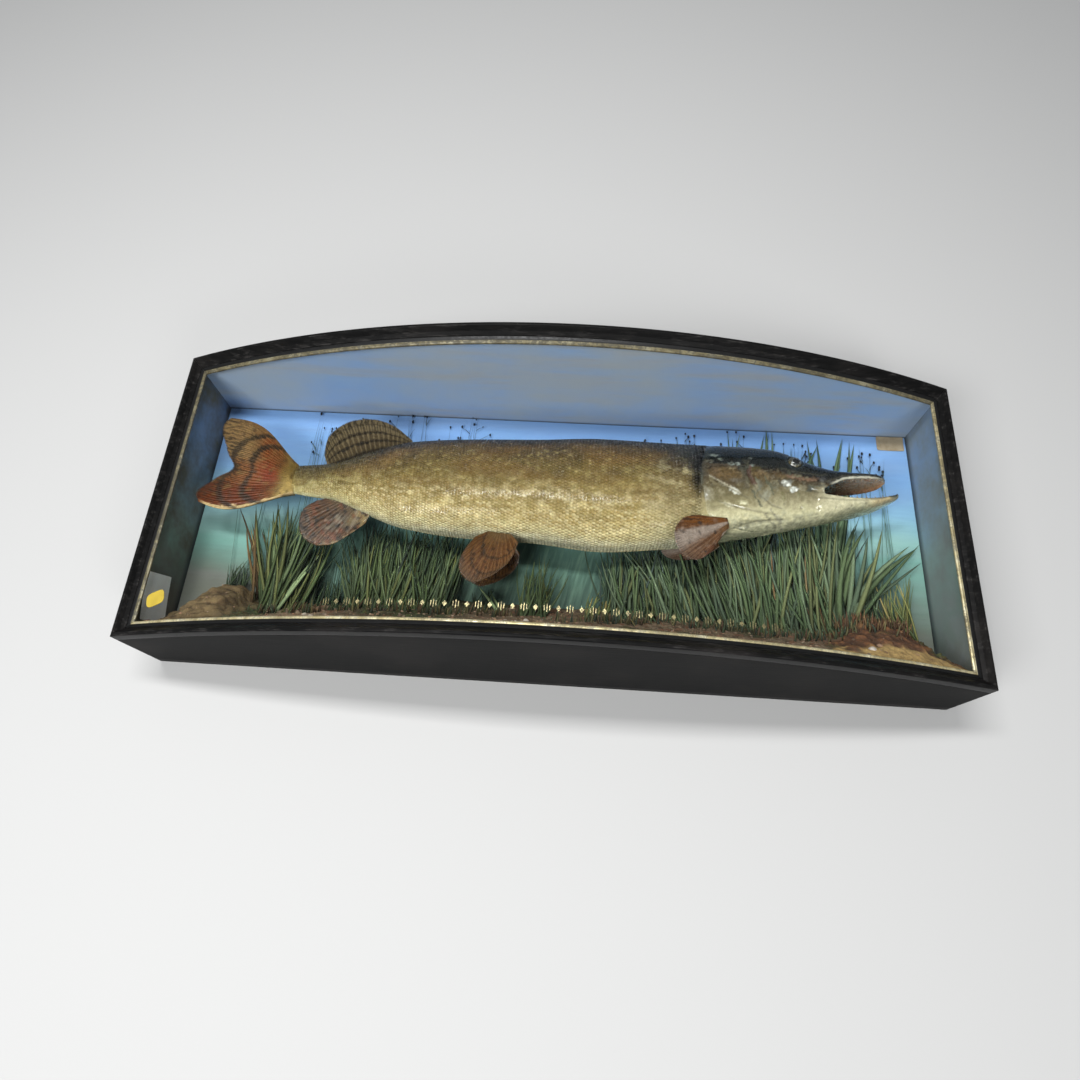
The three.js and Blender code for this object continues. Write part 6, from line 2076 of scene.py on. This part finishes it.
LINE_LEVEL = -162.5
LOZENGE = [(0, 3.4), (2.6, 0), (0, -3.4), (-2.6, 0)]
STROKE_SIZES = ((-3, 3), (0, 4.6), (3, 3))  # place of each stroke in its group, and half its height
LEAF_THICK = 0.12

gold, tree, shader, place = start_material("gold_leaf", Metallic=0.55, Roughness=0.42)
worn = grainy(tree, place, 300, 4, 0.6)
colour = mixed(tree, faded(tree, worn, 0.45, 0.62), (0.26, 0.215, 0.105), (0.1, 0.08, 0.04))
put(shader.inputs["Base Color"], colour)
strokes = [
    [(at - 0.45, tall), (at + 0.45, tall), (at + 0.45, -tall), (at - 0.45, -tall)]
    for at, tall in STROKE_SIZES
]
block = [(0, 3, 2, 1), (4, 5, 6, 7)] + [(i, (i + 1) % 4, 4 + (i + 1) % 4, 4 + i) for i in range(4)]
parts = []
for k, x in enumerate(np.arange(-244, 257, 12.5)):
    for mark in [LOZENGE] if k % 2 else strokes:
        flat = np.array(mark) + (x, LINE_LEVEL)
        front = (front_z(flat[:, 0] * MM) + GLASS_BACK) / MM - 0.03
        parts.append((np.vstack([np.column_stack([flat, front - sunk]) for sunk in (0, LEAF_THICK)]), block))
points, faces = joined(parts)
face_out(make_piece("gilt_line", points * MM, faces, gold, "gilt", smooth=False))


# ---- floor, light and camera ----
# A plain pale floor under the case, soft light from above and from the foot of the case, and the
# camera over its lower edge.

FLOOR_HALF = 6
paper, tree, shader, _ = start_material("floor_paper", Base_Color=(0.44, 0.44, 0.435), Roughness=0.85)
mesh = bpy.data.meshes.new("floor")
corners = [(x * FLOOR_HALF, y * FLOOR_HALF, 0) for x, y in ((-1, -1), (1, -1), (1, 1), (-1, 1))]
mesh.from_pydata(corners, [], [(0, 1, 2, 3)])
mesh.materials.append(paper)
floor = linked("floor", mesh)
floor.location.z = -0.0005


def area_light(name, place, aim, size, power):
    lamp = bpy.data.lights.new(name, "AREA")
    lamp.shape = "RECTANGLE"
    lamp.size, lamp.size_y = size
    lamp.energy = power
    back = (Vector(place) - Vector(aim)).normalized()
    level = Vector((0, 1, 0)).cross(back).normalized()
    turn = Matrix((level, back.cross(level), back)).transposed().to_4x4()
    linked(name, lamp).matrix_world = Matrix.Translation(place) @ turn


area_light("key_light", (-1.1, -1.3, 2.2), (0, 0, 0.08), (1.2, 0.8), 62)
area_light("top_light", (-0.3, 0.26, 2.4), (0, 0, 0.08), (1.2, 0.24), 50)
area_light("foot_light", (0.9, -1.8, 1.6), (0, 0, 0.1), (0.8, 0.6), 18)

world = bpy.data.worlds.new("studio")
world.use_nodes = True
put(world.node_tree.nodes["Background"].inputs["Color"], (0.86, 0.9, 0.95))
put(world.node_tree.nodes["Background"].inputs["Strength"], 0.24)
bpy.context.scene.world = world
bpy.context.scene.view_settings.view_transform = "Standard"

CAMERA_PLACE = (0.0345, -0.4037, 0.9731)
CAMERA_TURN = (-0.3979, 0.0389, 0.0616)  # the axis it turns about, from straight down, as long as the angle
SENSOR = 36
FOCAL_SHARE = 738 / 1080  # focal length over the width of the frame
turn = Vector(CAMERA_TURN)
right, down, ahead = Matrix.Rotation(turn.length, 3, turn.normalized()) @ Matrix.Diagonal((1, -1, -1))
lens = bpy.data.cameras.new("camera")
lens.lens = FOCAL_SHARE * SENSOR
lens.sensor_width = SENSOR
lens.clip_start = 0.01
camera = linked("camera", lens)
facing = Matrix((right, -down, -ahead)).transposed().to_4x4()
camera.matrix_world = Matrix.Translation(CAMERA_PLACE) @ facing
bpy.context.scene.camera = camera

bpy.context.view_layer.update()
